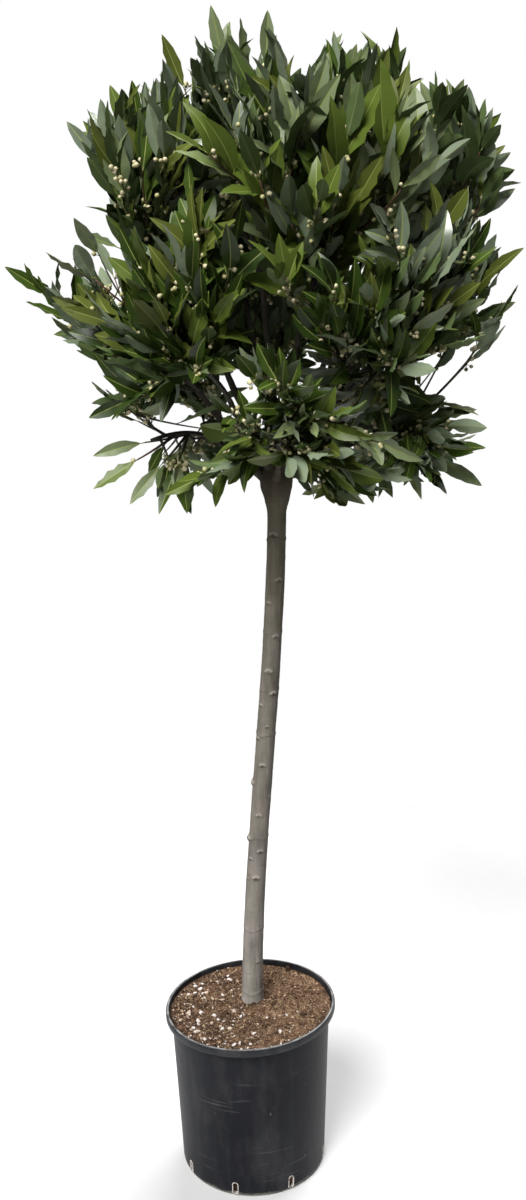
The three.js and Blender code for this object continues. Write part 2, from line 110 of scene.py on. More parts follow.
# Knots and old leaf scars on the trunk: height, azimuth, width, how far each stands out, and how dark its
# middle is.
KNOTS = [
    (1058, 248, 11.7, 1.95, 0.9),
    (1052, 70, 10.4, 1.5, 0.6),
    (988, 292, 10.4, 1.65, 0.525),
    (952, 232, 7.8, 1.8, 0.45),
    (900, 288, 9.1, 1.05, 0.75),
    (872, 118, 9.1, 1.5, 0.75),
    (844, 256, 10.4, 1.95, 0.45),
    (808, 296, 10.4, 1.65, 1),
    (788, 216, 7.8, 1.35, 0.6),
    (754, 272, 5.2, 0.45, 1),
    (734, 212, 7.8, 2.1, 1),
    (726, 40, 10.4, 1.8, 0.9),
    (690, 260, 9.1, 0.75, 0.9),
    (658, 184, 10.4, 3.9, 1),
    (636, 328, 6.5, 1.05, 1),
    (606, 260, 7.8, 0.9, 0.6),
    (590, 100, 11.7, 2.4, 1),
    (564, 196, 11.7, 4.5, 0.75),
    (544, 284, 9.1, 0.9, 1),
    (530, 224, 6.5, 0.9, 1),
    (498, 268, 10.4, 1.95, 1),
    (494, 212, 5.2, 0.75, 1),
    (455, 80, 10.4, 1.95, 0.9),
    (348, 300, 6.5, 0.6, 1),
]
# The parts of a knot as shares of its width, and in pairs with how strong each is for the knot.
KNOT = {
    "drawn_in": 1.35,
    "swelling": 0.55,
    "dip": (0.2, 0.55),
    "middle": 0.3,
    "crease": (0.6, 0.95),
    "below": 0.36,
    "callus": (0.42, 0.75),
}
CREASE = 1.7  # the half width of the fold below a knot, in millimetres
# How a ring of strength 1 lies in the bark: it stands out, and has a broken dark line below it.
RING = {
    "stands": 1.4,
    "width": 2.4,
    "waver": 1.5,
    "dark": 0.75,
    "least_dark": 0.35,
    "line": 1.1,
    "below": 2.5,
}
# Rings left where a year's growth ended: height and how strong each is.
RINGS = [(292, 0.35), (406, 0.45), (566, 0.4), (740, 0.55), (812, 0.4), (905, 0.4), (1050, 0.6)]

# Old wood where the boughs leave is more uneven than the stem below it.
GNARLED = {"starts": 1072, "over": 45, "within": 45, "swell": 2.2, "grain": 0.5}

HEAD = {
    "middle": np.array([55.0, 10.0, 1430.0]),
    "half_width": 352,
    "half_depth": 340,
    "rise": 326,
    "drop": 326,
    "round_above": 2.4,
    "round_below": 4,
}
HUB = np.array([61.0, 20.0, 1200.0])  # the masses' spaces fan out from here

# The tiers of foliage masses, each trait for the low, middle, high and top one. The masses of a tier reach
# to these shares of the outline, and leave the hub bare this far out. Climb lifts the boughs, lift the
# twigs, leaf_rise the leaves, and spring bows the shoots. The tints are the shares of the tints of a
# leaf's upper side.
TIER_TRAITS = {
    "name": ["low", "middle", "high", "top"],
    "elevation": [3, 30, 57, 86],
    "first_azimuth": [200, 164, 200, 180],
    "reach": [
        [0.88, 0.98, 1.0, 0.98, 0.92],
        [0.82, 0.93, 0.97, 0.99, 0.96],
        [0.95, 1.0, 1.07, 1.0],
        [1.0],
    ],
    "bare": [95, 135, 170, 200],
    "root_height": [1124, 1150, 1176, 1198],
    "root_radius": [7, 7.5, 7, 8],
    "climb": [-0.1, 0.1, 0.16, 0],
    "lift": [-0.45, 0.25, 0.55, 0.9],
    "leaf_size": [0.7, 0.88, 1.04, 1.06],
    "leaf_rise": [-0.2, 0.35, 0.55, 0.6],
    "spring": [0.04, 0.17, 0.2, 0.2],
    "level": [0.85, 1, 1, 1],
    "shoots": [9, 9, 11, 14],
    # The high and top tiers take more of the pale soft and grey tints, so the top of the head is painted
    # lighter, with painted sheen.
    "tints": [
        [18, 24, 14, 12, 22, 10],
        [20, 26, 18, 16, 8, 12],
        [5, 13, 20, 21, 23, 18],
        [5, 13, 20, 21, 23, 18],
    ],
    "reddish": [0.1, 0.2, 0.55, 0.6],
}
TIERS = [dict(zip(TIER_TRAITS, traits)) for traits in zip(*TIER_TRAITS.values())]

# Where the outermost leaf tips stand out from the outline.
FURTHEST = np.array(
    [
        (-317, -10, 1455),
        (-288, -20, 1408),
        (-217, -10, 1649),
        (-155, -30, 1690),
        (-84, -30, 1750),
        (-14, -10, 1791),
        (25, 0, 1776),
        (62, 0, 1784),
        (160, 30, 1762),
        (198, 0, 1736),
        (240, 30, 1766),
        (330, 0, 1690),
        (378, 0, 1648),
        (388, 10, 1606),
        (400, -10, 1545),
        (409, -20, 1467),
        (412, 30, 1390),
        (350, -70, 1138),
        (298, -95, 1132),
        (343, -60, 1246),
        (-201, -70, 1147),
        (-200, -60, 1196),
        (-62, -90, 1113),
        (-150, -80, 1128),
        (-108, -90, 1114),
    ],
    float,
)

BOUGH = {
    "tip_radius": 4.2,
    "outset": 0.45,
    "rings": 15,
    "wander": 1.1,
    "collar": 1.6,  # how much thicker it is where it leaves the trunk
    "collar_fades": 9,
    "knuckle": (8, 0.5),  # a ring that is a little thicker
}
SKIN = {"voxel": 0.0017, "smoothing": 4}
STEM = {"share": 0.5, "radius": 4.2, "tip_radius": 2.6}
SHOOT = {
    "radius": 2.5,
    "tip_radius": 1.2,
    "shallowest": 0.82,  # the share of the way out to the outline at which its tip may end
    "woody": 4,  # how many eighths of it are brown
    "tries": 34,
    "wander": 0.65,
    "fork": (0.08, 0.95),
    "leading_leaf": 0.85,
    "within": 2.5,  # how far inside its mass's space it ends
    "overlap": 6,
    "clearance": 4,
}
TWIG = {
    "radius": 1.8,
    "tip_radius": 0.9,
    "woody": 2,
    "each": 4,
    "tries": 16,
    "wander": 0.9,
    "fork": (0.08, 0.34),
    "next_fork": 0.22,
    "length": (120, 235),
    "leading_leaf": 0.7,
    "tip_overlap": 22,
    "overlap": 26,
    "clearance": 3,
    "least_room": 22,
}
LEAF = {
    "length": 87,
    "varies": 17,
    "least": 0.6,  # the size that a leaf may shrink to when it finds no room
    "on_twig": 0.9,
    "vigour": (0.8, 1.13),
    "spacing": 15.5,
    "bare_shoot": 0.24,
    "bare_twig": 0.1,
    "turn": 2.4,  # radians round the shoot from the leaf before
    "strays": 0.7,  # how far from its even place it may stand, along the shoot and round it
    "next_try": 0.9,  # radians further round at each try
    "splay": rad(41),
    "splay_along": (1.25, 0.62),
    "splay_varies": (0.75, 1.25),
    "size_along": (0.9, 1.06),
    "slim": (0.28, 0.38),
    "stalk": 7,
    "stalk_radius": 0.9,
    "stalk_end_radius": 0.75,
    "room": 7,
    "tries": 12,
}
# On the lower boughs the broadest leaves are old ones, short and round.
OLD_LEAF = {"above": 0.86, "slim": 0.47, "length": 0.76}
# How blades vary, each trait from its first value to its second.
BLADE = {
    "widest": (0.4, 0.52),
    "fold": (0.08, 0.5),
    "bend": (-0.15, 0.8),
    "wave": (0.012, 0.05),
    "twist": (-0.6, 0.6),
    "sway": (-0.4, 0.4),
}
BUDS = {
    "share": 0.7,  # of the axils have buds
    "most": 3.9,
    "radius": 3.3,
    "varies": (0.8, 1.15),
    "stalk": (6, 13),
    "stalk_radius": 0.55,
    "cream": 0.6,
}
FROM_LIMBS = 5
FROM_TRUNK = 17
# The share of leaves left in the shaded heart of the head, and where it ends, as shares of the outline.
HEART = {"leaves": 0.34, "inside": 0.5, "outside": 0.74}
LEAST_OPEN = 0.3  # only a furthest point is reached where a smaller share of leaves grows
FACING_OUT = np.array([0.1, -1.0, 0.4])  # the way that the leaves at the furthest points face
SHOOT_SEED, LEAF_SEED, BOUGH_SEED = 4000, 7000, 31
# The tints of a leaf's upper side: colour, roughness and how much it mirrors.
UPPER_TINTS = {
    "deep": ((0.024, 0.046, 0.006), 0.36, 0.26),
    "mid": ((0.048, 0.083, 0.011), 0.38, 0.26),
    "fresh": ((0.095, 0.138, 0.02), 0.4, 0.26),
    "olive": ((0.096, 0.117, 0.02), 0.4, 0.26),
    # The soft and grey tints are pale grey-greens with a painted sheen in their colour, besides their own
    # gloss.
    "soft": ((0.152, 0.192, 0.09), 0.42, 0.35),
    "grey": ((0.132, 0.164, 0.106), 0.32, 0.8),
}
OVERLAP = 36  # how far a leaf may lean over into its neighbours' space, where a solid may not
# Where the head is open: middle, half sizes, and the share of leaves that still grow there.
OPENINGS = [
    ((-282, 0, 1562), (112, 600, 82), 0.0),
    ((-172, 0, 1450), (24, 600, 52), 0.0),
    ((-268, 0, 1290), (78, 600, 50), 0.0),
    ((-172, 0, 1210), (148, 600, 44), 0.0),
    ((372, 0, 1300), (110, 600, 46), 0.0),
    ((392, 0, 1222), (52, 600, 40), 0.0),
    ((36, 0, 1738), (14, 600, 46), 0.0),
    ((102, 0, 1748), (36, 600, 44), 0.0),
    ((-8, 0, 1262), (34, 400, 62), 0.2),
    ((60, -150, 1126), (66, 260, 54), 0.06),
    ((-130, -240, 1560), (58, 130, 52), 0.12),
    ((232, -240, 1530), (46, 130, 66), 0.12),
    ((-10, -310, 1285), (90, 110, 42), 0.5),
    ((60, 340, 1300), (330, 95, 62), 0.3),
    ((-60, 310, 1570), (80, 110, 70), 0.1),
    ((225, 290, 1640), (110, 110, 66), 0.1),
    ((70, -330, 1690), (60, 80, 60), 0.1),
    ((300, 0, 1722), (34, 600, 30), 0.0),
    ((-165, 0, 1640), (50, 600, 42), 0.4),
    ((-62, 0, 1726), (20, 600, 34), 0.0),
    ((372, 0, 1440), (26, 600, 60), 0.3),
]


# ---------------------------------------------------------------- small helpers


def seeded(seed):
    """The same stream of numbers from 0 to 1 as in the part's source."""
    state = seed & 0xFFFFFFFF

    def draw():
        nonlocal state
        state = (state + 0x6D2B79F5) & 0xFFFFFFFF
        t = ((state ^ (state >> 15)) * (state | 1)) & 0xFFFFFFFF
        t ^= (t + (((t ^ (t >> 7)) * (t | 61)) & 0xFFFFFFFF)) & 0xFFFFFFFF
        return ((t ^ (t >> 14)) & 0xFFFFFFFF) / 4294967296

    return draw


def unit(v):
    return v / math.sqrt(v @ v)


def lerp(a, b, t):
    return a + (b - a) * t


def clamp(x, low=0.0, high=1.0):
    return min(max(x, low), high)


def smoothstep(x, low, high):
    t = clamp((x - low) / (high - low))
    return t * t * (3 - 2 * t)


def headings(points):
    """The direction in which a line of points runs at each of them."""
    heads = np.gradient(points, axis=0)
    return heads / np.linalg.norm(heads, axis=1)[:, None]


def any_way(draw):
    """A random vector, each part from -1 to 1."""
    return np.array([2 * draw() - 1 for _ in range(3)])


def bell(x, wide):
    return np.exp(-((x / wide) ** 2))


def added(add, **settings):
    """A new primitive, alone selected."""
    bpy.ops.object.select_all(action="DESELECT")
    add(**settings)
    return bpy.context.object


def only(*pieces):
    """Selects these objects and no others, with the first one active."""
    bpy.ops.object.select_all(action="DESELECT")
    for piece in pieces:
        piece.select_set(True)
    bpy.context.view_layer.objects.active = pieces[0]


def joined(pieces):
    only(*pieces)
    bpy.ops.object.join()
    return bpy.context.object


def corners_of(piece):
    flat = np.empty(len(piece.data.vertices) * 3)
    piece.data.vertices.foreach_get("co", flat)
    return flat.reshape(-1, 3)


def set_corners(piece, corners):
    piece.data.vertices.foreach_set("co", np.ascontiguousarray(corners, np.float32).ravel())
    piece.data.update()


def taken_apart(piece):
    """Corners and faces of a primitive, which then goes."""
    corners = corners_of(piece)
    faces = [list(face.vertices) for face in piece.data.polygons]
    bpy.data.objects.remove(piece)
    return corners, faces


def mark_corners(piece, name, values):
    marks = piece.data.attributes.new(name, "FLOAT", "POINT")
    marks.data.foreach_set("value", values.astype(np.float32))


def edit_lines_along(piece, axis, least):
    """Goes into edit mode with the edges selected that run further than this along one axis."""
    bpy.ops.object.mode_set(mode="EDIT")
    bpy.ops.mesh.select_mode(type="EDGE")
    bpy.ops.mesh.select_all(action="DESELECT")
    bpy.ops.object.mode_set(mode="OBJECT")
    ends = piece.data.vertices
    for line in piece.data.edges:
        a, b = (ends[i].co for i in line.vertices)
        line.select = abs(a[axis] - b[axis]) > least
    bpy.ops.object.mode_set(mode="EDIT")


def face_outwards():
    """Turns every face of the mesh in edit mode outwards, and leaves edit mode."""
    bpy.ops.mesh.select_all(action="SELECT")
    bpy.ops.mesh.normals_make_consistent(inside=False)
    bpy.ops.object.mode_set(mode="OBJECT")


def apply_modifier(piece, kind, **settings):
    only(piece)
    bpy.ops.object.modifier_add(type=kind)
    modifier = piece.modifiers[-1]
    for key, value in settings.items():
        setattr(modifier, key, value)
    bpy.ops.object.modifier_apply(modifier=modifier.name)


def settle(piece, name, nodes):
    """Names a finished piece, sets it on the tree and lets it stand for its solids."""
    piece.name = name
    piece.data.name = name
    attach(piece, "root")
    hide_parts(*nodes)
    return piece


# ---------------------------------------------------------------- camera, light and floor

CAMERA = {
    "place": (0.036, -1.8446, 1.4078),
    "down": 13.654,
    "roll": -1.3,
    "sensor": 36,
    "lens": 37.5,
    "nearest": 0.05,
}
# Very broad lamps, so far off that they light the floor evenly: direction, strength, spread in degrees.
LAMPS = {
    "key": ((-0.42, -0.78, 0.95), 5.2, 30),
    "overhead": ((0.25, 0.5, 1.0), 3.6, 36),
}
SKY = {"low": 0.05, "high": 0.26, "full_at": 0.9}
BACKDROP = 1.0
FLOOR = {"shade": 0.53, "speck": 0.004, "radius": 1.5, "margin": 0.6, "sides": 96}


def make_camera():
    bpy.ops.object.camera_add()
    camera = bpy.context.object
    camera.name = "camera"
    camera.matrix_world = (
        Matrix.Translation(CAMERA["place"])
        @ Matrix.Rotation(rad(90 - CAMERA["down"]), 4, "X")
        @ Matrix.Rotation(rad(CAMERA["roll"]), 4, "Z")
    )
    camera.data.sensor_width = CAMERA["sensor"]
    camera.data.lens = CAMERA["lens"]
    camera.data.clip_start = CAMERA["nearest"]
    bpy.context.scene.camera = camera


def make_sky():
    """A dim sky that is paler overhead, and a white backdrop where the camera sees past the piece."""
    scene = bpy.context.scene
    scene.view_settings.view_transform = "Standard"
    scene.view_settings.look = "None"
    world = bpy.data.worlds.new("studio")
    scene.world = world
    world.use_nodes = True
    tree = world.node_tree
    sky = tree.nodes["Background"]
    sky.inputs["Strength"].default_value = 1.0
    upward = tree.nodes.new("ShaderNodeSeparateXYZ")
    tree.links.new(tree.nodes.new("ShaderNodeTexCoord").outputs["Generated"], upward.inputs[0])
    shade = tree.nodes.new("ShaderNodeValToRGB")
    low, high = shade.color_ramp.elements
    low.position, low.color = 0.0, (*[SKY["low"]] * 3, 1)
    high.position, high.color = SKY["full_at"], (*[SKY["high"]] * 3, 1)
    tree.links.new(upward.outputs["Z"], shade.inputs["Fac"])
    seen = tree.nodes.new("ShaderNodeLightPath")
    either = tree.nodes.new("ShaderNodeMix")
    either.data_type = "RGBA"
    tree.links.new(seen.outputs["Is Camera Ray"], either.inputs["Factor"])
    colours = [socket for socket in either.inputs if socket.type == "RGBA"]
    tree.links.new(shade.outputs["Color"], colours[0])
    colours[1].default_value = (BACKDROP, BACKDROP, BACKDROP, 1)
    tree.links.new([s for s in either.outputs if s.type == "RGBA"][0], sky.inputs["Color"])


def make_lamps():
    for name, (direction, strength, spread) in LAMPS.items():
        bpy.ops.object.light_add(type="SUN", location=Vector(direction) * 4)
        light = bpy.context.object
        light.name = name
        light.data.energy = strength
        light.data.angle = rad(spread)
        light.rotation_euler = Vector(direction).to_track_quat("Z", "Y").to_euler()


def make_floor():
    floor = added(
        bpy.ops.mesh.primitive_circle_add,
        vertices=FLOOR["sides"],
        radius=FLOOR["radius"],
        fill_type="NGON",
    )
    floor.name = "floor"
    bpy.ops.object.mode_set(mode="EDIT")
    bpy.ops.mesh.inset(thickness=FLOOR["margin"])
    bpy.ops.object.mode_set(mode="OBJECT")
    pale = Finish("floor_paint", 1.0, 0.0)
    dark, light = (FLOOR["shade"] + FLOOR["speck"] * side for side in (-1, 1))
    pale.colour(pale.ramp(pale.noise(30, detail=3), [(0.3, dark), (0.7, light)]))
    floor.data.materials.append(pale.material)


# ---------------------------------------------------------------- finishes


class Finish:
    """A material whose colour, gloss and relief come from patterns in the piece's own coordinates."""

    def __init__(self, name, roughness, specular=0.5):
        self.material = bpy.data.materials.new(name)
        self.material.use_nodes = True
        self.tree = self.material.node_tree
        self.shader = self.tree.nodes["Principled BSDF"]
        self.shader.inputs["Roughness"].default_value = roughness
        self.shader.inputs["Specular IOR Level"].default_value = specular
        self.place = self.tree.nodes.new("ShaderNodeTexCoord").outputs["Object"]

    def plug(self, socket, value):
        if isinstance(value, bpy.types.NodeSocket):
            self.tree.links.new(value, socket)
        else:
            socket.default_value = value

    def node(self, kind, **inputs):
        made = self.tree.nodes.new("ShaderNode" + kind)
        for name, value in inputs.items():
            self.plug(made.inputs[name], value)
        return made

    def stretched(self, by, turn):
        """The piece's own coordinates, stretched and turned for a pattern where that is asked for."""
        if by is None:
            return self.place
        return self.node("Mapping", Scale=by, Rotation=(0, 0, turn), Vector=self.place).outputs["Vector"]

    def noise(self, scale, detail=2.0, roughness=0.5, stretch=None, twist=0.0, turn=0.0):
        place = self.stretched(stretch, turn)
        made = self.node("TexNoise", Scale=scale, Detail=detail, Roughness=roughness, Vector=place)
        made.inputs["Distortion"].default_value = twist
        return made.outputs["Fac"]

    def cells(self, scale, stretch=None):
        place = self.stretched(stretch, 0.0)
        return self.node("TexVoronoi", Scale=scale, Vector=place).outputs["Distance"]

    def axis(self, name):
        return self.node("SeparateXYZ", Vector=self.place).outputs[name]

    def painted(self, name):
        made = self.node("Attribute")
        made.attribute_name = name
        return made.outputs["Fac"]

    def ramp(self, factor, stops):
        made = self.node("ValToRGB", Fac=factor)
        ramp = made.color_ramp
        while len(ramp.elements) < len(stops):
            ramp.elements.new(0.5)
        for element, (at, colour) in zip(ramp.elements, stops):
            element.position = at
            level = (colour,) * 3 if isinstance(colour, (int, float)) else colour
            element.color = (*level, 1)
        return made.outputs["Color"]

    def mix(self, factor, a, b, way="MIX"):
        made = self.node("Mix")
        made.data_type = "RGBA"
        made.blend_type = way
        self.plug(made.inputs["Factor"], factor)
        for socket, value in (("A", a), ("B", b)):
            target = [s for s in made.inputs if s.name == socket and s.type == "RGBA"][0]
            self.plug(target, (*value, 1) if isinstance(value, tuple) else value)
        return [s for s in made.outputs if s.type == "RGBA"][0]

    def stained(self, under, stain):
        """One colour darkened by another."""
        return self.mix(1.0, under, stain, "MULTIPLY")

    def rising(self, pattern, low, high, level=1.0):
        """Nothing where a pattern is low, rising to a level where it is high."""
        return self.ramp(pattern, [(low, 0.0), (high, level)])

    def reckoned(self, way, a, b):
        made = self.node("Math")
        made.operation = way
        self.plug(made.inputs[0], a)
        self.plug(made.inputs[1], b)
        return made.outputs[0]

    def times(self, a, b):
        return self.reckoned("MULTIPLY", a, b)

    def plus(self, a, b):
        return self.reckoned("ADD", a, b)

    def minus(self, a, b):
        return self.reckoned("SUBTRACT", a, b)

    def colour(self, value):
        self.plug(self.shader.inputs["Base Color"], value)
        return self

    def roughness(self, pattern, at_low, at_high):
        """Roughness that runs from one value to another as a pattern rises."""
        made = self.node("MapRange", **{"Value": pattern, "To Min": at_low, "To Max": at_high})
        self.plug(self.shader.inputs["Roughness"], made.outputs["Result"])
        return self

    def relief(self, height, depth, strength=1.0):
        made = self.node("Bump", Strength=strength, Distance=depth, Height=height)
        self.plug(self.shader.inputs["Normal"], made.outputs["Normal"])
        return self


def plain(name, colour, roughness, specular=0.5):
    """One tint of something that comes in hundreds: its variety is dealt out among them."""
    material = bpy.data.materials.new(name)
    material.use_nodes = True
    shader = material.node_tree.nodes["Principled BSDF"]
    shader.inputs["Base Color"].default_value = (*colour, 1)
    shader.inputs["Roughness"].default_value = roughness
    shader.inputs["Specular IOR Level"].default_value = specular
    return material


def pot_plastic():
    skin = Finish("black_plastic", 0.5, 0.14)
    broad = skin.noise(9, detail=3)
    fine = skin.noise(140, detail=4, roughness=0.6)
    dust = skin.noise(24, detail=6, roughness=0.65, stretch=(1, 1, 0.35))
    drag = skin.noise(60, detail=3, stretch=(1, 1, 0.06))
    shade = skin.ramp(broad, [(0.3, (0.0042, 0.0047, 0.0068)), (0.7, (0.0078, 0.0083, 0.0112))])
    shade = skin.mix(skin.rising(drag, 0.5, 0.72, 0.3), shade, (0.024, 0.026, 0.031))
    shade = skin.mix(skin.rising(dust, 0.47, 0.72, 0.55), shade, (0.036, 0.036, 0.038))
    # Fine scratches that run round the wall, where it has been dragged along its neighbours.
    scratch = skin.noise(230, detail=2, roughness=0.4, stretch=(0.06, 0.06, 1))
    in_places = skin.rising(skin.noise(11, detail=2), 0.48, 0.64, 0.4)
    shade = skin.mix(skin.times(skin.rising(scratch, 0.655, 0.7), in_places), shade, (0.075, 0.076, 0.08))
    scuff = skin.ramp(skin.cells(60, stretch=(1, 1, 0.5)), [(0.0, 1.0), (0.1, 0.0)])
    in_places = skin.rising(skin.noise(11, detail=1), 0.52, 0.6, 0.8)
    shade = skin.mix(skin.times(scuff, in_places), shade, (0.2, 0.2, 0.2))
    # Soil dried on round the foot.
    soiled = skin.plus(skin.times(skin.axis("Z"), 42), skin.times(dust, 0.8))
    shade = skin.mix(skin.ramp(soiled, [(0.4, 1.0), (0.78, 0.0)]), shade, (0.27, 0.26, 0.205))
    skin.colour(shade).roughness(dust, 0.38, 0.58)
    skin.relief(skin.plus(fine, skin.times(drag, 0.6)), 0.0003, 0.4)
    return skin.material


def rim_plastic():
    skin = Finish("rim_plastic", 0.45, 0.24)
    dust = skin.noise(34, detail=6, roughness=0.65)
    base = skin.ramp(dust, [(0.38, (0.009, 0.0095, 0.012)), (0.75, (0.035, 0.036, 0.038))])
    # The brow of the rim is painted pale: a painted highlight along its top edge, partly also wear, more
    # in some places than in others.
    in_places = skin.ramp(skin.noise(60, detail=5), [(0.35, 0.25), (0.6, 1.0)])
    highlight_and_wear = skin.times(skin.painted("brow"), in_places)
    skin.colour(skin.mix(highlight_and_wear, base, (0.26, 0.255, 0.25))).roughness(dust, 0.36, 0.55)
    skin.relief(skin.noise(160, detail=4), 0.0003, 0.4)
    return skin.material


def worn_plastic():
    skin = Finish("worn_slot_edge", 0.7, 0.3)
    speck = skin.noise(420, detail=4, roughness=0.7)
    stops = [(0.38, (0.1, 0.085, 0.07)), (0.5, (0.45, 0.42, 0.38)), (0.7, (0.7, 0.68, 0.64))]
    skin.colour(skin.ramp(speck, stops)).relief(speck, 0.0003, 0.6)
    return skin.material


def compost():
    earth = Finish("compost", 0.95, 0.15)
    broad = earth.noise(22, detail=4, roughness=0.6)
    fine = earth.noise(330, detail=6, roughness=0.75)
    lumps = earth.cells(210)
    shade = earth.ramp(
        fine,
        [
            (0.3, (0.035, 0.02, 0.012)),
            (0.43, (0.1, 0.06, 0.036)),
            (0.56, (0.19, 0.125, 0.08)),
            (0.7, (0.4, 0.29, 0.2)),
        ],
    )
    # Darker away from the middles of the lumps, in the hollows that the relief makes between them: painted
    # shade.
    shade = earth.stained(shade, earth.ramp(lumps, [(0.1, 1.15), (0.55, 0.62)]))
    # Strands of coir, which lie three ways.
    for scale, turn in ((230, 0.35), (260, -0.8), (210, 1.7)):
        strands = earth.noise(scale, detail=3, stretch=(1, 0.16, 1), twist=1.5, turn=turn)
        shade = earth.mix(earth.rising(strands, 0.6, 0.66, 0.85), shade, (0.34, 0.235, 0.145))
    # It is damp in patches, and darker towards the left.
    damp = [(0.36, (0.4, 0.33, 0.3)), (0.6, (1.06, 1.01, 0.97))]
    shade = earth.stained(shade, earth.ramp(broad, damp))
    side = earth.plus(earth.times(earth.axis("X"), 4.0), 0.5)
    darker_to_left = [(0.1, (0.62, 0.56, 0.54)), (0.75, (1.0, 0.96, 0.92))]
    earth.colour(earth.stained(shade, earth.ramp(side, darker_to_left)))
    earth.relief(earth.minus(fine, earth.times(lumps, 0.6)), 0.004, 0.9)
    return earth.material


def bark():
    skin = Finish("bark", 0.8, 0.3)
    wander = skin.noise(9, detail=2)
    level = skin.plus(skin.axis("Z"), skin.times(skin.minus(wander, 0.5), 0.16))
    # The bark's tone by height, with painted shade: from the fork up, where the trunk runs into the head,
    # it is painted dark.
    tone_and_painted_shade = skin.ramp(
        skin.times(level, 0.7),
        [
            (0.2, (0.245, 0.226, 0.206)),
            (0.33, (0.172, 0.156, 0.14)),
            (0.45, (0.152, 0.136, 0.118)),
            (0.6, (0.158, 0.141, 0.12)),
            (0.7, (0.17, 0.152, 0.12)),
            (0.75, (0.16, 0.139, 0.105)),
            (0.79, (0.07, 0.056, 0.038)),
            (0.83, (0.035, 0.03, 0.02)),
        ],
    )
    streaks = skin.noise(150, detail=4, roughness=0.6, stretch=(1, 1, 0.07))
    mottle = skin.noise(42, detail=5, roughness=0.6, stretch=(1, 1, 0.5))
    flecks = skin.noise(170, detail=2, roughness=0.5, stretch=(0.35, 0.35, 2.2))
    patches = skin.noise(26, detail=4, roughness=0.6, stretch=(1, 1, 0.45))
    shade = skin.stained(tone_and_painted_shade, skin.ramp(streaks, [(0.3, 0.78), (0.7, 1.16)]))
    mottled = skin.ramp(mottle, [(0.32, (0.7, 0.71, 0.66)), (0.66, (1.14, 1.12, 1.1))])
    shade = skin.stained(shade, mottled)
    # A thin greyish-green bloom of algae in patches, and dark cracks across the grain.
    green = skin.stained(tone_and_painted_shade, (0.88, 0.94, 0.86))
    shade = skin.mix(skin.rising(patches, 0.48, 0.68, 0.5), shade, green)
    shade = skin.mix(skin.rising(flecks, 0.665, 0.74, 0.5), shade, (0.07, 0.058, 0.046))
    shade = skin.mix(skin.painted("scar"), shade, (0.03, 0.024, 0.018))
    shade = skin.mix(skin.painted("callus"), shade, (0.36, 0.32, 0.28))
    skin.colour(shade)
    skin.relief(skin.plus(skin.times(flecks, -0.6), skin.plus(streaks, mottle)), 0.0009, 0.7)
    return skin.material


# ---------------------------------------------------------------- pot


def slanted(corners):
    """Raises the pot and its filling on the right, more towards the rim, as the soft rim does."""
    corners = corners.copy()
    corners[:, 2] += (
        POT["slant"] * corners[:, 0] * (np.clip(corners[:, 2], 0, None) / (POT["height"] * MM)) ** 2
    )
    return corners


def pot_profile():
    """Radius and height, from the middle of the underside up the wall, round the rim and down inside."""
    height, rim, neck, foot = (POT[k] for k in ("height", "rim_radius", "neck_radius", "foot_radius"))
    bend = POT["foot_round"]
    under = height - POT["rim_depth"]
    points = [(40, 0.0), (80, 0.0), (foot - bend, 0.0)]
    points += [
        (foot - bend + bend * math.sin(a), bend - bend * math.cos(a))
        for a in np.radians([22, 45, 68, 90])
    ]
    wall = [
        (lerp(foot, neck, t), lerp(bend, under - 3, t)) for t in np.linspace(0, 1, 22)[1:]
    ]
    points += wall
    points += [(neck + 0.5, under - 0.8), (neck + 2.2, under), (rim - 2.2, under)]
    points += [(rim - 0.6, under + 0.7), (rim, under + 2.4), (rim, height - 3.4)]
    points += [(rim - 0.9, height - 1.1), (rim - 3, height), (rim - POT["rim_width"] + 2, height)]
    inner = rim - POT["rim_width"]
    points += [(inner + 0.4, height - 0.7), (inner, height - 2.5), (inner, under + POT["wall"])]
    points += [
        (lerp(neck, foot, t) - POT["wall"], lerp(under - 1, bend + 2, t)) for t in (0, 0.5, 1)
    ]
    points += [(foot - bend, POT["floor"]), (60, POT["floor"])]
    return points


def turned(name, points, sides):
    """Turns a profile as on a wheel: a disc, extruded ring by ring to each radius and height."""
    radius, height = points[0]
    piece = added(
        bpy.ops.mesh.primitive_circle_add,
        vertices=sides,
        radius=radius * MM,
        fill_type="NGON",
        location=(0, 0, height * MM),
    )
    bpy.ops.object.transform_apply(location=True, rotation=True, scale=True)
    bpy.ops.object.mode_set(mode="EDIT")
    bpy.ops.mesh.select_all(action="SELECT")
    bpy.ops.mesh.flip_normals()
    bpy.ops.mesh.select_mode(type="EDGE")
    bpy.ops.mesh.region_to_loop()
    for (r0, z0), (r1, z1) in zip(points, points[1:]):
        bpy.ops.mesh.extrude_edges_move(TRANSFORM_OT_translate={"value": (0, 0, (z1 - z0) * MM)})
        bpy.ops.transform.resize(value=(r1 / r0, r1 / r0, 1), center_override=(0, 0, z1 * MM))
    bpy.ops.mesh.edge_face_add()
    face_outwards()
    piece.name = name
    return piece


def slot_azimuths():
    return [rad(SLOTS["first_azimuth"] + 360 * k / SLOTS["count"]) for k in range(SLOTS["count"])]


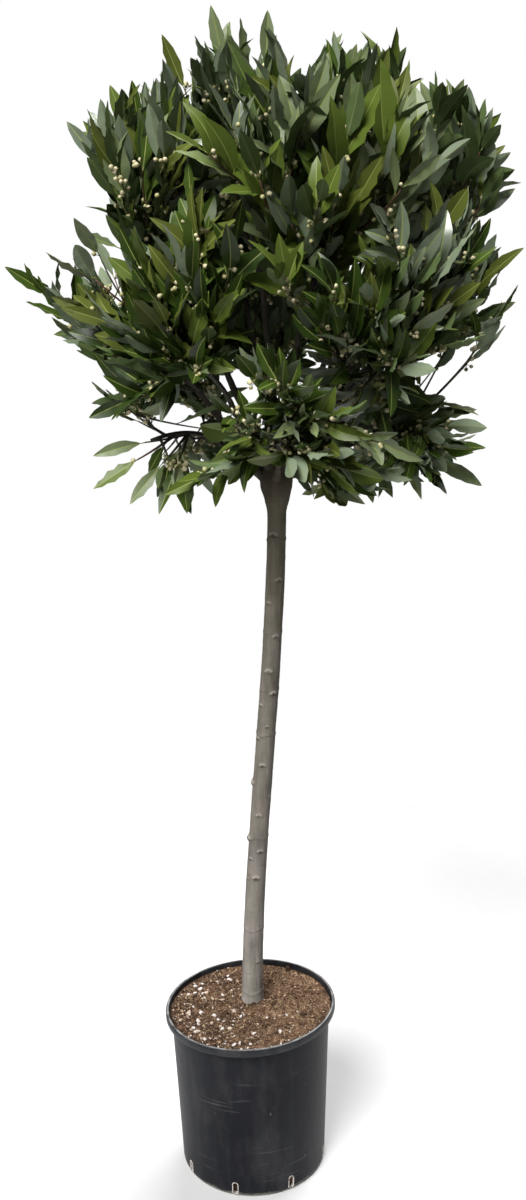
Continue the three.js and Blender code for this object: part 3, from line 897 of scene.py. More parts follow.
def slot_cutters(edge):
    """Round-topped pegs that stand through the wall where its drainage slots are."""
    width, tall = SLOTS["width"] * MM, SLOTS["height"] * MM
    out = (POT["foot_radius"] - 1) * MM
    cutters = []
    for azimuth in slot_azimuths():
        peg = added(
            bpy.ops.mesh.primitive_cube_add,
            size=1,
            location=(out, 0, SLOTS["bottom"] * MM + tall / 2),
            scale=(0.024, width, tall),
        )
        bpy.ops.object.transform_apply(location=True, rotation=True, scale=True)
        edit_lines_along(peg, 0, 0.01)
        bpy.ops.mesh.bevel(offset=width * 0.48, segments=5, affect="EDGES")
        bpy.ops.mesh.select_all(action="SELECT")
        bpy.ops.transform.rotate(value=-azimuth, orient_axis="Z", center_override=(0, 0, 0))
        bpy.ops.object.mode_set(mode="OBJECT")
        # The way round that this tool turns is looked up, and put right if it is the other way.
        placed = math.atan2(*(corners_of(peg).mean(0)[[1, 0]]))
        if abs(math.remainder(placed - azimuth, math.tau)) > 0.01:
            peg.data.transform(Matrix.Rotation(azimuth - placed, 4, "Z"))
        peg.data.materials.append(edge)
        cutters.append(peg)
    return joined(cutters)


def make_pot():
    pot = turned("pot_shell", pot_profile(), POT["sides"])
    edge = worn_plastic()
    for material in (pot_plastic(), rim_plastic(), edge):
        pot.data.materials.append(material)
    under = (POT["height"] - POT["rim_depth"] - 1.5) * MM
    for face in pot.data.polygons:
        across = math.hypot(face.center.x, face.center.y)
        if face.center.z > under and across > (POT["neck_radius"] - 1) * MM:
            face.material_index = 1
    cutter = slot_cutters(edge)
    apply_modifier(
        pot, "BOOLEAN", operation="DIFFERENCE", solver="EXACT", object=cutter, material_mode="TRANSFER"
    )
    bpy.data.objects.remove(cutter)
    corners = corners_of(pot)
    # Handling leaves a thin wall a little out of round, and the rim a little wavy.
    angle = np.arctan2(corners[:, 1], corners[:, 0])
    share = np.clip(corners[:, 2] / (POT["height"] * MM), 0, 1)
    oval, wavy = (size * np.sin(times * angle + turn) for times, size, turn in GIVE)
    corners[:, :2] *= np.minimum(1 + share**2 * (oval + wavy), MOST_GIVE)[:, None]
    # The brow: a thin band along the top of the rim that its finish paints pale, a painted highlight.
    inwards = POT["rim_radius"] - np.hypot(corners[:, 0], corners[:, 1]) / MM
    on_top = corners[:, 2] > (POT["height"] - 1.0) * MM
    mark_corners(pot, "brow", (np.abs(inwards - BROW["inset"]) < BROW["half_width"]) & on_top)
    set_corners(pot, slanted(corners))
    only(pot)
    bpy.ops.object.shade_smooth_by_angle(angle=rad(32))
    make_slot_lips(edge)
    return settle(pot, "pot_shell", ["pot"])


def make_slot_lips(finish):
    """A raised, worn lip round each slot: a ring drawn out upwards and laid on the slanting wall."""
    half = SLOTS["width"] * MM / 2
    straight = (SLOTS["height"] - SLOTS["width"]) * MM
    wall = math.atan2(POT["neck_radius"] - POT["foot_radius"], POT["height"] - POT["rim_depth"])
    bottom = SLOTS["bottom"] * MM + half
    foot, bend = POT["foot_radius"] * MM, POT["foot_round"] * MM
    for k, azimuth in enumerate(slot_azimuths()):
        lip = added(
            bpy.ops.mesh.primitive_torus_add,
            major_segments=20,
            minor_segments=6,
            major_radius=half + LIP["outset"],
            minor_radius=LIP["radius"],
        )
        corners = corners_of(lip)
        # Stood up facing outwards, with its upper half drawn up to the slot's height.
        up = corners[:, 1] + np.where(corners[:, 1] > 1e-5, straight, 0) + bottom
        radius = foot + (up - bend) * math.tan(wall)
        dip = np.clip(bend - up, 0, None)
        radius -= bend - np.sqrt(bend**2 - dip**2)
        radius += corners[:, 2] * LIP["flatness"]
        along = azimuth + corners[:, 0] / foot
        set_corners(lip, np.stack([radius * np.cos(along), radius * np.sin(along), up], 1))
        bpy.ops.object.mode_set(mode="EDIT")
        face_outwards()
        bpy.ops.object.shade_smooth()
        lip.data.materials.append(finish)
        settle(lip, f"slot_lip_{k + 1}", ["pot"])


# ---------------------------------------------------------------- compost


def soil_edge():
    return POT["rim_radius"] - POT["rim_width"] - 0.9


def soil_height(x, y):
    """Height of the compost's surface in millimetres, before the slant."""
    away = math.hypot(x, y) / soil_edge()
    rise = SOIL["mound"] * max(1 - away, 0) ** SOIL["dome"] - 1
    close, high = SOIL["clods"]
    clods = high * noise.fractal(Vector((x, y, 3)) * close, 0.8, 2.1, 3)
    close, high = SOIL["crumbs"]
    crumbs = high * noise.fractal(Vector((x, y, 9)) * close, 0.6, 2.2, 4)
    return SOIL["level"] + rise + (clods + crumbs) * (1 - smoothstep(away, 0.94, 1.0))


def ground_at(x, y):
    """Height of the compost's surface in millimetres, with the slant."""
    level = soil_height(x, y)
    return level + POT["slant"] * x * (level / POT["height"]) ** 2


def place_on_compost(rng, inset, from_stem):
    """A random place this far in from the edge or more, and this far out from the stem."""
    edge = soil_edge() - inset
    stem = TRUNK["foot"]
    while True:
        x, y = rng.uniform(-edge, edge, 2)
        if math.hypot(x, y) <= edge and math.hypot(x - stem[0], y - stem[1]) >= from_stem:
            return x, y


def make_compost():
    edge = soil_edge()
    floor = POT["floor"] + 0.4
    points = [(60, floor), (POT["foot_radius"] - POT["foot_round"] - 1, floor)]
    under = POT["height"] - POT["rim_depth"] - 1.5
    points += [(POT["foot_radius"] - POT["wall"] - 1.6, POT["foot_round"] + 3)]
    points += [(POT["neck_radius"] - POT["wall"] - 0.8, under), (edge, SOIL["level"] - 1)]
    points += [(edge * (1 - k / SOIL["rings"]), SOIL["level"]) for k in range(1, SOIL["rings"])]
    soil = turned("compost", points, SOIL["sides"])
    corners = corners_of(soil)
    for corner in corners:
        if corner[2] > (SOIL["level"] - 0.5) * MM:
            corner[2] = soil_height(corner[0] / MM, corner[1] / MM) * MM
    set_corners(soil, slanted(corners))
    only(soil)
    bpy.ops.object.shade_smooth()
    soil.data.materials.append(compost())
    return settle(soil, "compost", ["soil"])


def mesh_from(name, corners, faces, tints=None, materials=(), smooth=True, sharp=None):
    """A joined mesh from arrays. The faces come in blocks of equal-sided ones, as corner numbers."""
    mesh = bpy.data.meshes.new(name)
    counts = np.concatenate([np.full(len(block), block.shape[1]) for block in faces])
    loops = np.concatenate([block.ravel() for block in faces]).astype(np.int32)
    mesh.vertices.add(len(corners))
    mesh.vertices.foreach_set("co", (corners * MM).astype(np.float32).ravel())
    mesh.loops.add(len(loops))
    mesh.loops.foreach_set("vertex_index", loops)
    mesh.polygons.add(len(counts))
    starts = np.concatenate([[0], np.cumsum(counts)[:-1]]).astype(np.int32)
    mesh.polygons.foreach_set("loop_start", starts)
    if tints is not None:
        mesh.polygons.foreach_set("material_index", tints.astype(np.int32))
    mesh.update(calc_edges=True)
    mesh.polygons.foreach_set("use_smooth", np.full(len(counts), smooth))
    if sharp is not None:
        pairs = np.empty(len(mesh.edges) * 2, np.int32)
        mesh.edges.foreach_get("vertices", pairs)
        marks = mesh.attributes.new("sharp_edge", "BOOLEAN", "EDGE")
        marks.data.foreach_set("value", sharp(pairs.reshape(-1, 2)))
    for material in materials:
        mesh.materials.append(material)
    piece = bpy.data.objects.new(name, mesh)
    bpy.context.collection.objects.link(piece)
    return piece


def modelled_lump():
    """Corners and faces of a small round lump."""
    return taken_apart(added(bpy.ops.mesh.primitive_ico_sphere_add, subdivisions=1, radius=1))


def scatter_lumps(name, materials, shares, count, sizes, flat, sunk, seed, thick_here=lambda x, y: 1):
    """Lumps strewn over the compost, each knocked out of round in its own way."""
    rng = np.random.default_rng(seed)
    shape, shape_faces = modelled_lump()
    shape_faces = np.array(shape_faces)
    corners, faces, tints = [], [], []
    while len(corners) < count:
        x, y = place_on_compost(rng, LUMP["inset"], LUMP["from_stem"])
        if rng.random() > clamp(thick_here(x, y)):
            continue
        size = lerp(*sizes, rng.random() ** LUMP["mostly_small"])
        turn, _ = np.linalg.qr(rng.normal(size=(3, 3)))
        lump = shape * (1 + LUMP["knocked"] * rng.normal(size=(len(shape), 1))).clip(*LUMP["bounds"])
        lump = lump * rng.uniform(*LUMP["stretch"], 3) @ turn * size * (1, 1, flat)
        lump += (x, y, ground_at(x, y) + size * sunk)
        faces.append(shape_faces + len(corners) * len(shape))
        corners.append(lump)
        tints.append(np.full(len(shape_faces), rng.choice(len(shares), p=shares)))
    corners, faces, tints = (np.concatenate(parts) for parts in (corners, faces, tints))
    piece = mesh_from(name, corners, [faces], tints, materials, smooth=False)
    return settle(piece, name, ["soil"])


def strew_fibres(name, materials, count, seed):
    """Short bent strands of coir lying on the compost."""
    rng = np.random.default_rng(seed)
    curves = []
    while len(curves) < count:
        x, y = place_on_compost(rng, FIBRE["inset"], FIBRE["from_stem"])
        angle, long = rng.uniform(0, math.tau), rng.uniform(*FIBRE["length"])
        bent = rng.normal(0, FIBRE["bent"])
        points = []
        for t in np.linspace(-0.5, 0.5, 4):
            away = angle + bent * t
            px, py = x + long * t * math.cos(away), y + long * t * math.sin(away)
            lift = FIBRE["lifted"] + FIBRE["arch"] * (0.25 - t * t) * rng.random() * 4
            points.append((px, py, ground_at(px, py) + lift))
        thick, tint = rng.uniform(*FIBRE["radius"]), int(rng.integers(0, 2))
        curves.append((np.array(points), thick, FIBRE["tip_radius"], tint))
    return settle(tubes(name, curves, 3, materials), name, ["soil"])


# ---------------------------------------------------------------- limbs


def tubes(name, curves, sides, materials):
    """Tapering twigs, one after another: each has its points, its two radii and its tint."""
    corners, quads, caps, tints, cap_tints = [], [], [], [], []
    start = 0
    turn = np.arange(sides) * math.tau / sides
    for points, wide, thin, tint in curves:
        heads = headings(points)
        across = np.cross(heads[0], (0.31, 0.87, 0.38))
        rings = []
        for k, (point, head) in enumerate(zip(points, heads)):
            across = across - head * (across @ head)
            across /= math.sqrt(across @ across)
            other = np.cross(head, across)
            radius = lerp(wide, thin, k / (len(points) - 1))
            rings.append(
                point + radius * (np.cos(turn)[:, None] * across + np.sin(turn)[:, None] * other)
            )
        corners += rings
        ring = np.arange(sides)
        after = (ring + 1) % sides
        for k in range(len(points) - 1):
            a = start + k * sides
            quads.append(np.stack([a + ring, a + after, a + sides + after, a + sides + ring], 1))
        last = start + (len(points) - 1) * sides
        caps.append(np.stack([start + ring[::-1], last + ring]))
        tints.append(np.full(sides * (len(points) - 1), tint))
        cap_tints.append(np.full(2, tint))
        start += sides * len(points)
    return mesh_from(
        name,
        np.concatenate(corners),
        [np.concatenate(quads), np.concatenate(caps)],
        np.concatenate(tints + cap_tints),
        materials,
    )


class Curve:
    """A limb's line, bent once, read by its share of length."""

    def __init__(self, start, turn, end, steps=20):
        t = np.linspace(0, 1, steps + 1)[:, None]
        self.points = start * (1 - t) ** 2 + turn * 2 * t * (1 - t) + end * t**2
        run = np.linalg.norm(np.diff(self.points, axis=0), axis=1)
        self.run = np.concatenate([[0], np.cumsum(run)])
        self.length = self.run[-1]

    def at(self, share):
        where = np.atleast_1d(share) * self.length
        found = np.stack([np.interp(where, self.run, self.points[:, i]) for i in range(3)], 1)
        return found if np.ndim(share) else found[0]

    def heading(self, share):
        return unit(self.at(min(share + 0.02, 1)) - self.at(max(share - 0.02, 0)))


def trunk_axis(z):
    foot = TRUNK["foot"]
    share = clamp((z - foot[2]) / (TRUNK["lean_ends"] - foot[2]))
    x = foot[0] + TRUNK["lean"] * lerp(share, smoothstep(share, 0, 1), TRUNK["bow"])
    return np.array([x, foot[1], z])


def trunk_radius(z):
    foot = TRUNK["foot"][2]
    taper = lerp(
        TRUNK["foot_radius"], TRUNK["upper_radius"], clamp((z - foot) / (FORK["starts"] - foot))
    )
    spread = TRUNK["flare"] * math.exp((foot - z) / TRUNK["flare_height"])
    if z < FORK["widest"]:
        return taper + spread + FORK["swell"] * smoothstep(z, FORK["starts"], FORK["widest"])
    full = TRUNK["upper_radius"] + FORK["swell"]
    return lerp(full, FORK["top_radius"], smoothstep(z, FORK["widest"], TRUNK["top"]))


def outline_share(points):
    """1 on the head's outline, less inside it."""
    away = points - HEAD["middle"]
    level = np.hypot(away[:, 0] / HEAD["half_width"], away[:, 1] / HEAD["half_depth"])
    above = away[:, 2] > 0
    upright = np.where(above, away[:, 2] / HEAD["rise"], -away[:, 2] / HEAD["drop"])
    power = np.where(above, HEAD["round_above"], HEAD["round_below"])
    return (level**power + upright**power) ** (1 / power)


def outline_distance(direction, reach):
    steps = np.linspace(0, 900, 361)
    inside = outline_share(HUB + direction * steps[:, None]) < reach
    return steps[np.argmin(inside) - 1] if not inside.all() else steps[-1]


def heading_of(azimuth, elevation):
    level = math.cos(elevation)
    return np.array([level * math.cos(azimuth), level * math.sin(azimuth), math.sin(elevation)])


def plan_head():
    masses = []
    for t, tier in enumerate(TIERS):
        for k, reach in enumerate(tier["reach"]):
            azimuth = rad(tier["first_azimuth"]) + math.tau * k / len(tier["reach"])
            axis = heading_of(azimuth, rad(tier["elevation"]))
            masses.append(
                {
                    "name": f"{tier['name']}_{k + 1}",
                    "tier": tier,
                    "reach": reach,
                    "axis": axis,
                    "entry": HUB + axis * tier["bare"],
                    "seed": 100 * (t + 1) + k,
                }
            )
    for mass in masses:
        others = [unit(mass["axis"] - other["axis"]) for other in masses if other is not mass]
        mass["walls"] = np.array(others)
    return masses


def depth_in_cell(mass, points):
    """How far inside its own mass's space each point lies."""
    return ((points - HUB) @ mass["walls"].T).min(1)


def bough_curve(mass):
    tier = mass["tier"]
    start = trunk_axis(tier["root_height"])
    span = np.linalg.norm(mass["entry"] - start)
    turn = lerp(start, mass["entry"], BOUGH["outset"]) - UP * tier["climb"] * span
    return Curve(start, turn, mass["entry"])


# Heights between which the trunk counts as straight, where foliage grows round it.
TRUNK_STEPS = [1000, 1060, 1090, 1110, 1142, 1175, TRUNK["top"]]
TRUNK_LENGTHS = len(TRUNK_STEPS) - 1
BOUGH_LENGTHS = 4


def limb_lengths(masses):
    """Every limb that foliage keeps clear of, as short straight lengths, the trunk's first."""
    starts, ends, radii = [], [], []
    for a, b in zip(TRUNK_STEPS, TRUNK_STEPS[1:]):
        starts.append(trunk_axis(a))
        ends.append(trunk_axis(b))
        radii.append(trunk_radius(b))
    for mass in masses:
        points = bough_curve(mass).at(np.linspace(0, 1, BOUGH_LENGTHS + 1))
        for k in range(BOUGH_LENGTHS):
            starts.append(points[k])
            ends.append(points[k + 1])
            radii.append(lerp(mass["tier"]["root_radius"], BOUGH["tip_radius"], k / BOUGH_LENGTHS))
    return np.array(starts), np.array(ends) - np.array(starts), np.array(radii)


def clear_of_limbs(points, clearance, from_trunk=0):
    starts, spans, radii = LIMBS
    away = points[:, None] - starts
    share = ((away * spans).sum(2) / (spans * spans).sum(1)).clip(0, 1)
    gap = np.linalg.norm(away - share[..., None] * spans, axis=2) - radii
    trunk = gap[:, :TRUNK_LENGTHS]
    return bool((gap > clearance).all() and (trunk > from_trunk).all())


def keeps_to_its_space(mass, points, reach, overlap):
    within = (outline_share(points) <= reach + 0.004).all()
    return bool(within and (depth_in_cell(mass, points) >= -overlap).all())


def openness(points):
    """The share of leaves that grow at a place: few in the shaded heart, few or none in openings."""
    out = smoothstep(outline_share(points[-1:])[0], HEART["inside"], HEART["outside"])
    share = lerp(HEART["leaves"], 1.0, out)
    for middle, half, kept in OPENINGS:
        if ((((points - middle) / half) ** 2).sum(1) < 1).any():
            share = min(share, kept)
    return share


def stem_curve(mass):
    reach = outline_distance(mass["axis"], mass["reach"]) - mass["tier"]["bare"]
    ahead = bough_curve(mass).heading(1)
    start = mass["entry"] - ahead * 3
    middle = start + ahead * (reach * STEM["share"] / 2)
    return Curve(start, middle, mass["entry"] + mass["axis"] * reach * STEM["share"])


def shoot_curve(mass, start, tip, leading):
    """A shoot forks off and turns up towards the light. Its last leaf reaches on to the tip."""
    end = tip - start
    long = np.linalg.norm(end)
    end = start + end / long * max(long - leading, leading / 4)
    span = np.linalg.norm(end - start)
    turn = (start + end) / 2 - UP * mass["tier"]["spring"] * span
    return Curve(start, turn, end)


# ---------------------------------------------------------------- growing the foliage


def room_round(tip, taken):
    return min([np.linalg.norm(other - tip) for other in taken], default=1e3)


def find_shoot(mass, stem, far, taken, draw):
    """The try whose tip has the most room. It ends at one of the furthest points, or near the outline."""
    reach = mass["reach"]
    if far is not None:
        reach = max(reach, outline_share(far[None])[0])
    best = None
    for _ in range(SHOOT["tries"]):
        direction = unit(mass["axis"] + any_way(draw) * SHOOT["wander"])
        share = lerp(SHOOT["shallowest"], 1, math.sqrt(draw()))
        tip = HUB + direction * outline_distance(direction, reach) * share if far is None else far
        if depth_in_cell(mass, tip[None])[0] < SHOOT["within"]:
            continue
        room = room_round(tip, taken)
        if best and room <= best["room"]:
            continue
        start = stem.at(lerp(*SHOOT["fork"], draw()))
        curve = shoot_curve(mass, start, tip, LEAF["length"] * SHOOT["leading_leaf"])
        along = curve.at(np.linspace(0.17, 1, 6))
        if not keeps_to_its_space(mass, along, reach, SHOOT["overlap"]):
            continue
        if not clear_of_limbs(along, SHOOT["clearance"]):
            continue
        if far is None and openness(tip[None]) < LEAST_OPEN:
            continue
        best = {"tip": tip, "curve": curve, "reach": reach, "room": room, "size": SHOOT}
        best["far"] = far is not None
    return best


def find_twig(mass, shoot, place, taken, draw):
    """The try whose tip has the most room, forking off one stretch of a shoot."""
    low, high = (fork + TWIG["next_fork"] * place for fork in TWIG["fork"])
    reach = mass["reach"]
    best = None
    for _ in range(TWIG["tries"]):
        fork = lerp(low, high, draw())
        start = shoot["curve"].at(fork)
        ahead = shoot["curve"].heading(fork)
        direction = unit(ahead + any_way(draw) * TWIG["wander"] + UP * 0.5 * mass["tier"]["lift"])
        tip = start + direction * lerp(*TWIG["length"], draw())
        if outline_share(tip[None])[0] > reach:
            continue
        if depth_in_cell(mass, tip[None])[0] < -TWIG["tip_overlap"]:
            continue
        if openness(tip[None]) < LEAST_OPEN:
            continue
        room = room_round(tip, taken)
        if best and room <= best["room"]:
            continue
        curve = shoot_curve(mass, start, tip, LEAF["length"] * TWIG["leading_leaf"])
        along = curve.at(np.linspace(0.3, 1, 4))
        if not keeps_to_its_space(mass, along, reach, TWIG["overlap"]):
            continue
        if clear_of_limbs(along, TWIG["clearance"]):
            best = {"tip": tip, "curve": curve, "reach": reach, "room": room, "size": TWIG, "far": False}
    return best if best and best["room"] > TWIG["least_room"] else None


def grow_shoots(mass, taken):
    """Shoots whose tips are spread over the mass's part of the outline, and the finer twigs off them."""
    draw = seeded(mass["seed"] + SHOOT_SEED)
    stem = stem_curve(mass)
    own = list(FURTHEST[depth_in_cell(mass, FURTHEST) >= SHOOT["within"]])
    spare = mass["tier"]["shoots"] - len(own)
    shoots = []

    def keep(found):
        if found:
            taken.append(found["tip"])
            shoots.append(found)

    for far in (own + [None] * spare)[: mass["tier"]["shoots"]]:
        keep(find_shoot(mass, stem, far, taken, draw))
    for shoot in list(shoots):
        for place in range(TWIG["each"]):
            keep(find_twig(mass, shoot, place, taken, draw))
    return stem, shoots


def leaf_points(foot, direction, across, length, width):
    """Points spread over a leaf, by which it is held to its space."""
    ahead = np.array([0.25, 0.5, 0.5, 0.5, 0.8, 1.0])[:, None] * length
    side = np.array([0, -0.5, 0, 0.5, 0, 0])[:, None] * width
    return foot + ahead * direction + side * across


MIDDLES = [2, 4]  # those of a leaf's points that no other leaf's may come too near


def leaf_size(tier, twig, share, shrunk, vigour, draw):
    """Length and slimness of a leaf. It is shorter at the ends of its shoot, and slimmer higher up."""
    size = lerp(1, LEAF["least"], shrunk)
    size *= lerp(*LEAF["size_along"], math.sin(math.pi * clamp(share)))
    length = (LEAF["length"] + LEAF["varies"] * (2 * draw() - 1)) * size
    if twig:
        length *= LEAF["on_twig"]
    length *= vigour
    broad = draw() ** 2
    if tier["name"] == "low" or twig:
        broad = draw()
    if broad > OLD_LEAF["above"] and tier["name"] in ("low", "middle"):
        return length * OLD_LEAF["length"], OLD_LEAF["slim"]
    return length, lerp(*LEAF["slim"], broad)


def grow_leaves(mass, shoot, tint, draw, hearts):
    """The leaves of one shoot: alternate ones up its length, and one that carries on to its tip."""
    tier = mass["tier"]
    curve = shoot["curve"]
    twig = shoot["size"] is TWIG
    leaves, axils = [], []
    bare = LEAF["bare_twig"] if twig else LEAF["bare_shoot"]
    vigour = lerp(*LEAF["vigour"], draw()) * tier["leaf_size"]
    count = max(4, round(curve.length * (1 - bare) / (LEAF["spacing"] * vigour)))
    spin = draw() * math.tau
    for k in range(count + 1):
        last = k == count
        share = 1.0 if last else lerp(bare, 0.97, (k + draw() * LEAF["strays"]) / count)
        point = curve.at(share)
        along = curve.heading(share)
        flat = unit(np.cross(along, (0.2, 0.3, 0.93)))
        other = np.cross(along, flat)
        outward = unit(point - HEAD["middle"])
        for n in range(LEAF["tries"]):
            shrunk = n / LEAF["tries"]
            leads = last and shrunk < 0.5
            stray = (draw() - 0.5) * LEAF["strays"]
            angle = spin + k * LEAF["turn"] + stray + n * LEAF["next_try"]
            side = math.cos(angle) * flat + math.sin(angle) * other
            splay = LEAF["splay"] * lerp(*LEAF["splay_along"], share)
            splay *= lerp(*LEAF["splay_varies"], draw())
            length, slim = leaf_size(tier, twig, share, shrunk, vigour, draw)
            roll = any_way(draw)
            direction = along * math.cos(splay) + side * math.sin(splay) + UP * tier["leaf_rise"]
            direction[2] *= tier["level"]
            direction = unit(direction)
            reach = shoot["reach"]
            if leads:
                direction = unit(shoot["tip"] - point)
                length = np.linalg.norm(shoot["tip"] - point) - LEAF["stalk"] * 0.6
                reach += 0.03
            face = outward + UP * 0.5 + side * 0.25 + roll
            if last and shoot["far"]:
                face = FACING_OUT + roll * 0.5
                slim = min(slim, LEAF["slim"][0])
            across = unit(np.cross(direction, face))
            foot = point + direction * LEAF["stalk"]
            points = leaf_points(foot, direction, across, length, length * slim)
            if not keeps_to_its_space(mass, points, reach, OVERLAP):
                continue
            if not clear_of_limbs(points, FROM_LIMBS, FROM_TRUNK):
                continue
            if not leads and draw() > openness(points):
                continue
            crowd = hearts["at"][: hearts["count"]]
            mine = points[MIDDLES]
            room = LEAF["room"] * (1 - shrunk)
            if len(crowd) and np.min(((crowd[:, None] - mine) ** 2).sum(2)) < room * room:
                continue
            hearts["at"][hearts["count"] : hearts["count"] + len(MIDDLES)] = mine
            hearts["count"] += len(MIDDLES)
            leaves.append(
                {
                    "foot": foot,
                    "frame": np.stack([direction, across, np.cross(across, direction)]),
                    "length": length,
                    "slim": slim,
                    "tint": tint,
                    "shape": [draw() for _ in range(7)],
                    "last": last,
                }
            )
            axils.append((point, unit(side + along * 0.8), share))
            break
    return leaves, axils


# A leaf's blade, in rows from its foot to its tip. Each row runs from the left edge over the midrib to the
# right edge, and back below the midrib. After the tip come the six corners of its three-sided stalk.
ROWS = np.array([0.0, 0.06, 0.16, 0.28, 0.41, 0.55, 0.69, 0.82, 0.93])
EDGE, RIB = 1.0, 0.05
ACROSS = [-EDGE, -RIB, RIB, EDGE, RIB, -RIB]
ROW = len(ACROSS)
RIGHT_EDGE = 3  # places in a row after this one are on the underside
TIP = len(ROWS) * ROW
LEAF_CORNERS = TIP + 1 + 6


def stalk_faces(start):
    """The three sides and two ends of a three-sided stalk, by the number of its first corner."""
    sides = [(i, (i + 1) % 3) for i in range(3)]
    quads = [(start + i, start + j, start + 3 + j, start + 3 + i) for i, j in sides]
    return quads, [(start + 2, start + 1, start), (start + 3, start + 4, start + 5)]


def leaf_faces():
    """The faces of one leaf, with the kind of each: upper side, midrib, underside, midrib below."""
    quads, tints, tris, tri_tints = [], [], [], []
    # Both sides are split along like diagonals, so the underside never comes through.
    sides = [
        (0, 1, 0, False),
        (1, 2, 1, False),
        (2, 3, 0, False),
        (3, 4, 2, True),
        (4, 5, 3, False),
        (5, 0, 2, True),
    ]
    for k in range(len(ROWS)):
        for a, b, tint, turned_on in sides:
            a, b = a + k * ROW, b + k * ROW
            if k + 1 < len(ROWS):
                quad = (a, b, b + ROW, a + ROW)
                quads.append(quad[1:] + quad[:1] if turned_on else quad)
                tints.append(tint)
            else:
                tris.append((a, b, TIP))
                tri_tints.append(tint)
    stalk, ends = stalk_faces(TIP + 1)
    foot = [(ROW - 1, ROW - 1 - i, ROW - 2 - i) for i in range(1, ROW - 1)]
    quads += stalk
    tints += [1] * len(stalk)
    tris += ends + foot
    tri_tints += [1] * len(ends + foot)
    return np.array(quads), np.array(tints), np.array(tris), np.array(tri_tints)


LEAF_QUADS, QUAD_TINTS, LEAF_TRIS, TRI_TINTS = leaf_faces()


def leaf_corners(leaves):
    """Every corner of every leaf, in millimetres, as one array of leaf, corner and place."""
    count = len(leaves)
    long = np.array([leaf["length"] for leaf in leaves])[:, None]
    slim = np.array([leaf["slim"] for leaf in leaves])[:, None]
    shape = np.array([leaf["shape"] for leaf in leaves])
    foot = np.array([leaf["foot"] for leaf in leaves])
    turn = np.array([leaf["frame"] for leaf in leaves])
    last = np.array([leaf["last"] for leaf in leaves])[:, None]

    widest = lerp(*BLADE["widest"], shape[:, :1])
    fold = lerp(*BLADE["fold"], shape[:, 1:2])
    bend = lerp(*BLADE["bend"], shape[:, 2:3]) * np.where(last, 0.25, 1)
    wave = lerp(*BLADE["wave"], shape[:, 3:4] ** 1.2)
    phase = shape[:, 4:5] * math.tau
    twist = lerp(*BLADE["twist"], shape[:, 5:6])
    sway = lerp(*BLADE["sway"], shape[:, 6:7]) * np.where(last, 0.2, 1)

    t = ROWS[None, :]
    power = math.log(0.5) / np.log(widest)
    swell = np.sin(math.pi * np.clip(t, 0.012, 1) ** power)
    half = long * slim / 2 * swell ** np.where(slim > 0.4, 0.66, 0.84)
    half = np.maximum(half, 0.9)

    # The midline bends down and sways aside as it runs out.
    def midline(t):
        down, aside = bend * t, sway * t
        ahead = long * (t - (bend * t) ** 2 * t / 6)
        return ahead, long * aside * t / 2, -long * down * t / 2

    ahead, aside, drop = midline(t)
    lean = twist * t
    corners = np.zeros((count, LEAF_CORNERS, 3))
    for place, s in enumerate(ACROSS):
        if abs(s) == RIB:
            reach = s / RIB * np.maximum(lerp(0.9, 0.3, t), 0.3)
            rise = np.full_like(half, -0.5 if place > RIGHT_EDGE else 0.2)
        else:
            crinkle = np.sin(phase + t * math.tau * 3.4 + (1.9 if s > 0 else 0)) * wave * long
            reach = s * half * (1 + 0.045 * np.sin(phase * 1.7 + t * 25))
            rise = fold * half + crinkle * swell
        index = np.arange(len(ROWS)) * ROW + place
        corners[:, index, 0] = ahead + np.zeros_like(half)
        corners[:, index, 1] = aside + reach * np.cos(lean) - rise * np.sin(lean)
        corners[:, index, 2] = drop + rise * np.cos(lean) + reach * np.sin(lean)
    corners[:, TIP, 0:1], corners[:, TIP, 1:2], corners[:, TIP, 2:3] = midline(np.ones((1, 1)))
    # The stalk starts inside its shoot, and ends a little way up the underside of the blade.
    stalk, wide, thin = LEAF["stalk"] + 1.0, LEAF["stalk_radius"], LEAF["stalk_end_radius"]
    for i in range(3):
        a = math.tau * i / 3 + math.pi / 2
        corners[:, TIP + 1 + i] = (-stalk, wide * math.cos(a), wide * math.sin(a))
        corners[:, TIP + 4 + i] = (2.0, thin * math.cos(a), thin * math.sin(a) - 0.2)
    return foot[:, None] + np.einsum("nci,nij->ncj", corners, turn)


# Lines along a leaf where its surface turns sharply: its edges and its midrib's sides, above and below.
LINES = np.array([1, 2, 4, 8, 16, 32])


def leaf_line(corner):
    """The lines that a leaf's corner lies on, as bits. The tip lies on all of them, the stalk on none."""
    line = LINES[corner % ROW]
    return np.where(corner < TIP, line, np.where(corner == TIP, LINES.sum(), 0))


def make_leaves(name, leaves, finishes):
    count = len(leaves)
    corners = leaf_corners(leaves).reshape(-1, 3)
    shift = (np.arange(count) * LEAF_CORNERS)[:, None, None]
    quads = (LEAF_QUADS[None] + shift).reshape(-1, 4)
    tris = (LEAF_TRIS[None] + shift).reshape(-1, 3)
    upper = np.array([leaf["tint"] for leaf in leaves])
    under = len(UPPER_TINTS) + 1 + upper % 2
    rib = np.full(count, len(UPPER_TINTS))

    def dealt(kinds):
        return np.stack([upper, rib, under, rib + 3], 1)[:, kinds].reshape(-1)

    tints = np.concatenate([dealt(QUAD_TINTS), dealt(TRI_TINTS)])

    def sharp(pairs):
        lines = leaf_line(pairs % LEAF_CORNERS)
        return (lines[:, 0] & lines[:, 1]) > 0

    return mesh_from(name, corners, [quads, tris], tints, finishes, True, sharp)


def modelled_bud():
    """A round bud with a slightly pointed top, a few faces round."""
    bud = added(bpy.ops.mesh.primitive_uv_sphere_add, segments=6, ring_count=4, radius=1)
    corners, faces = taken_apart(bud)
    corners[:, 2] = np.where(corners[:, 2] > 0.95, 1.08, corners[:, 2])
    return corners, faces


BUD_CORNERS, BUD_FACES = modelled_bud()


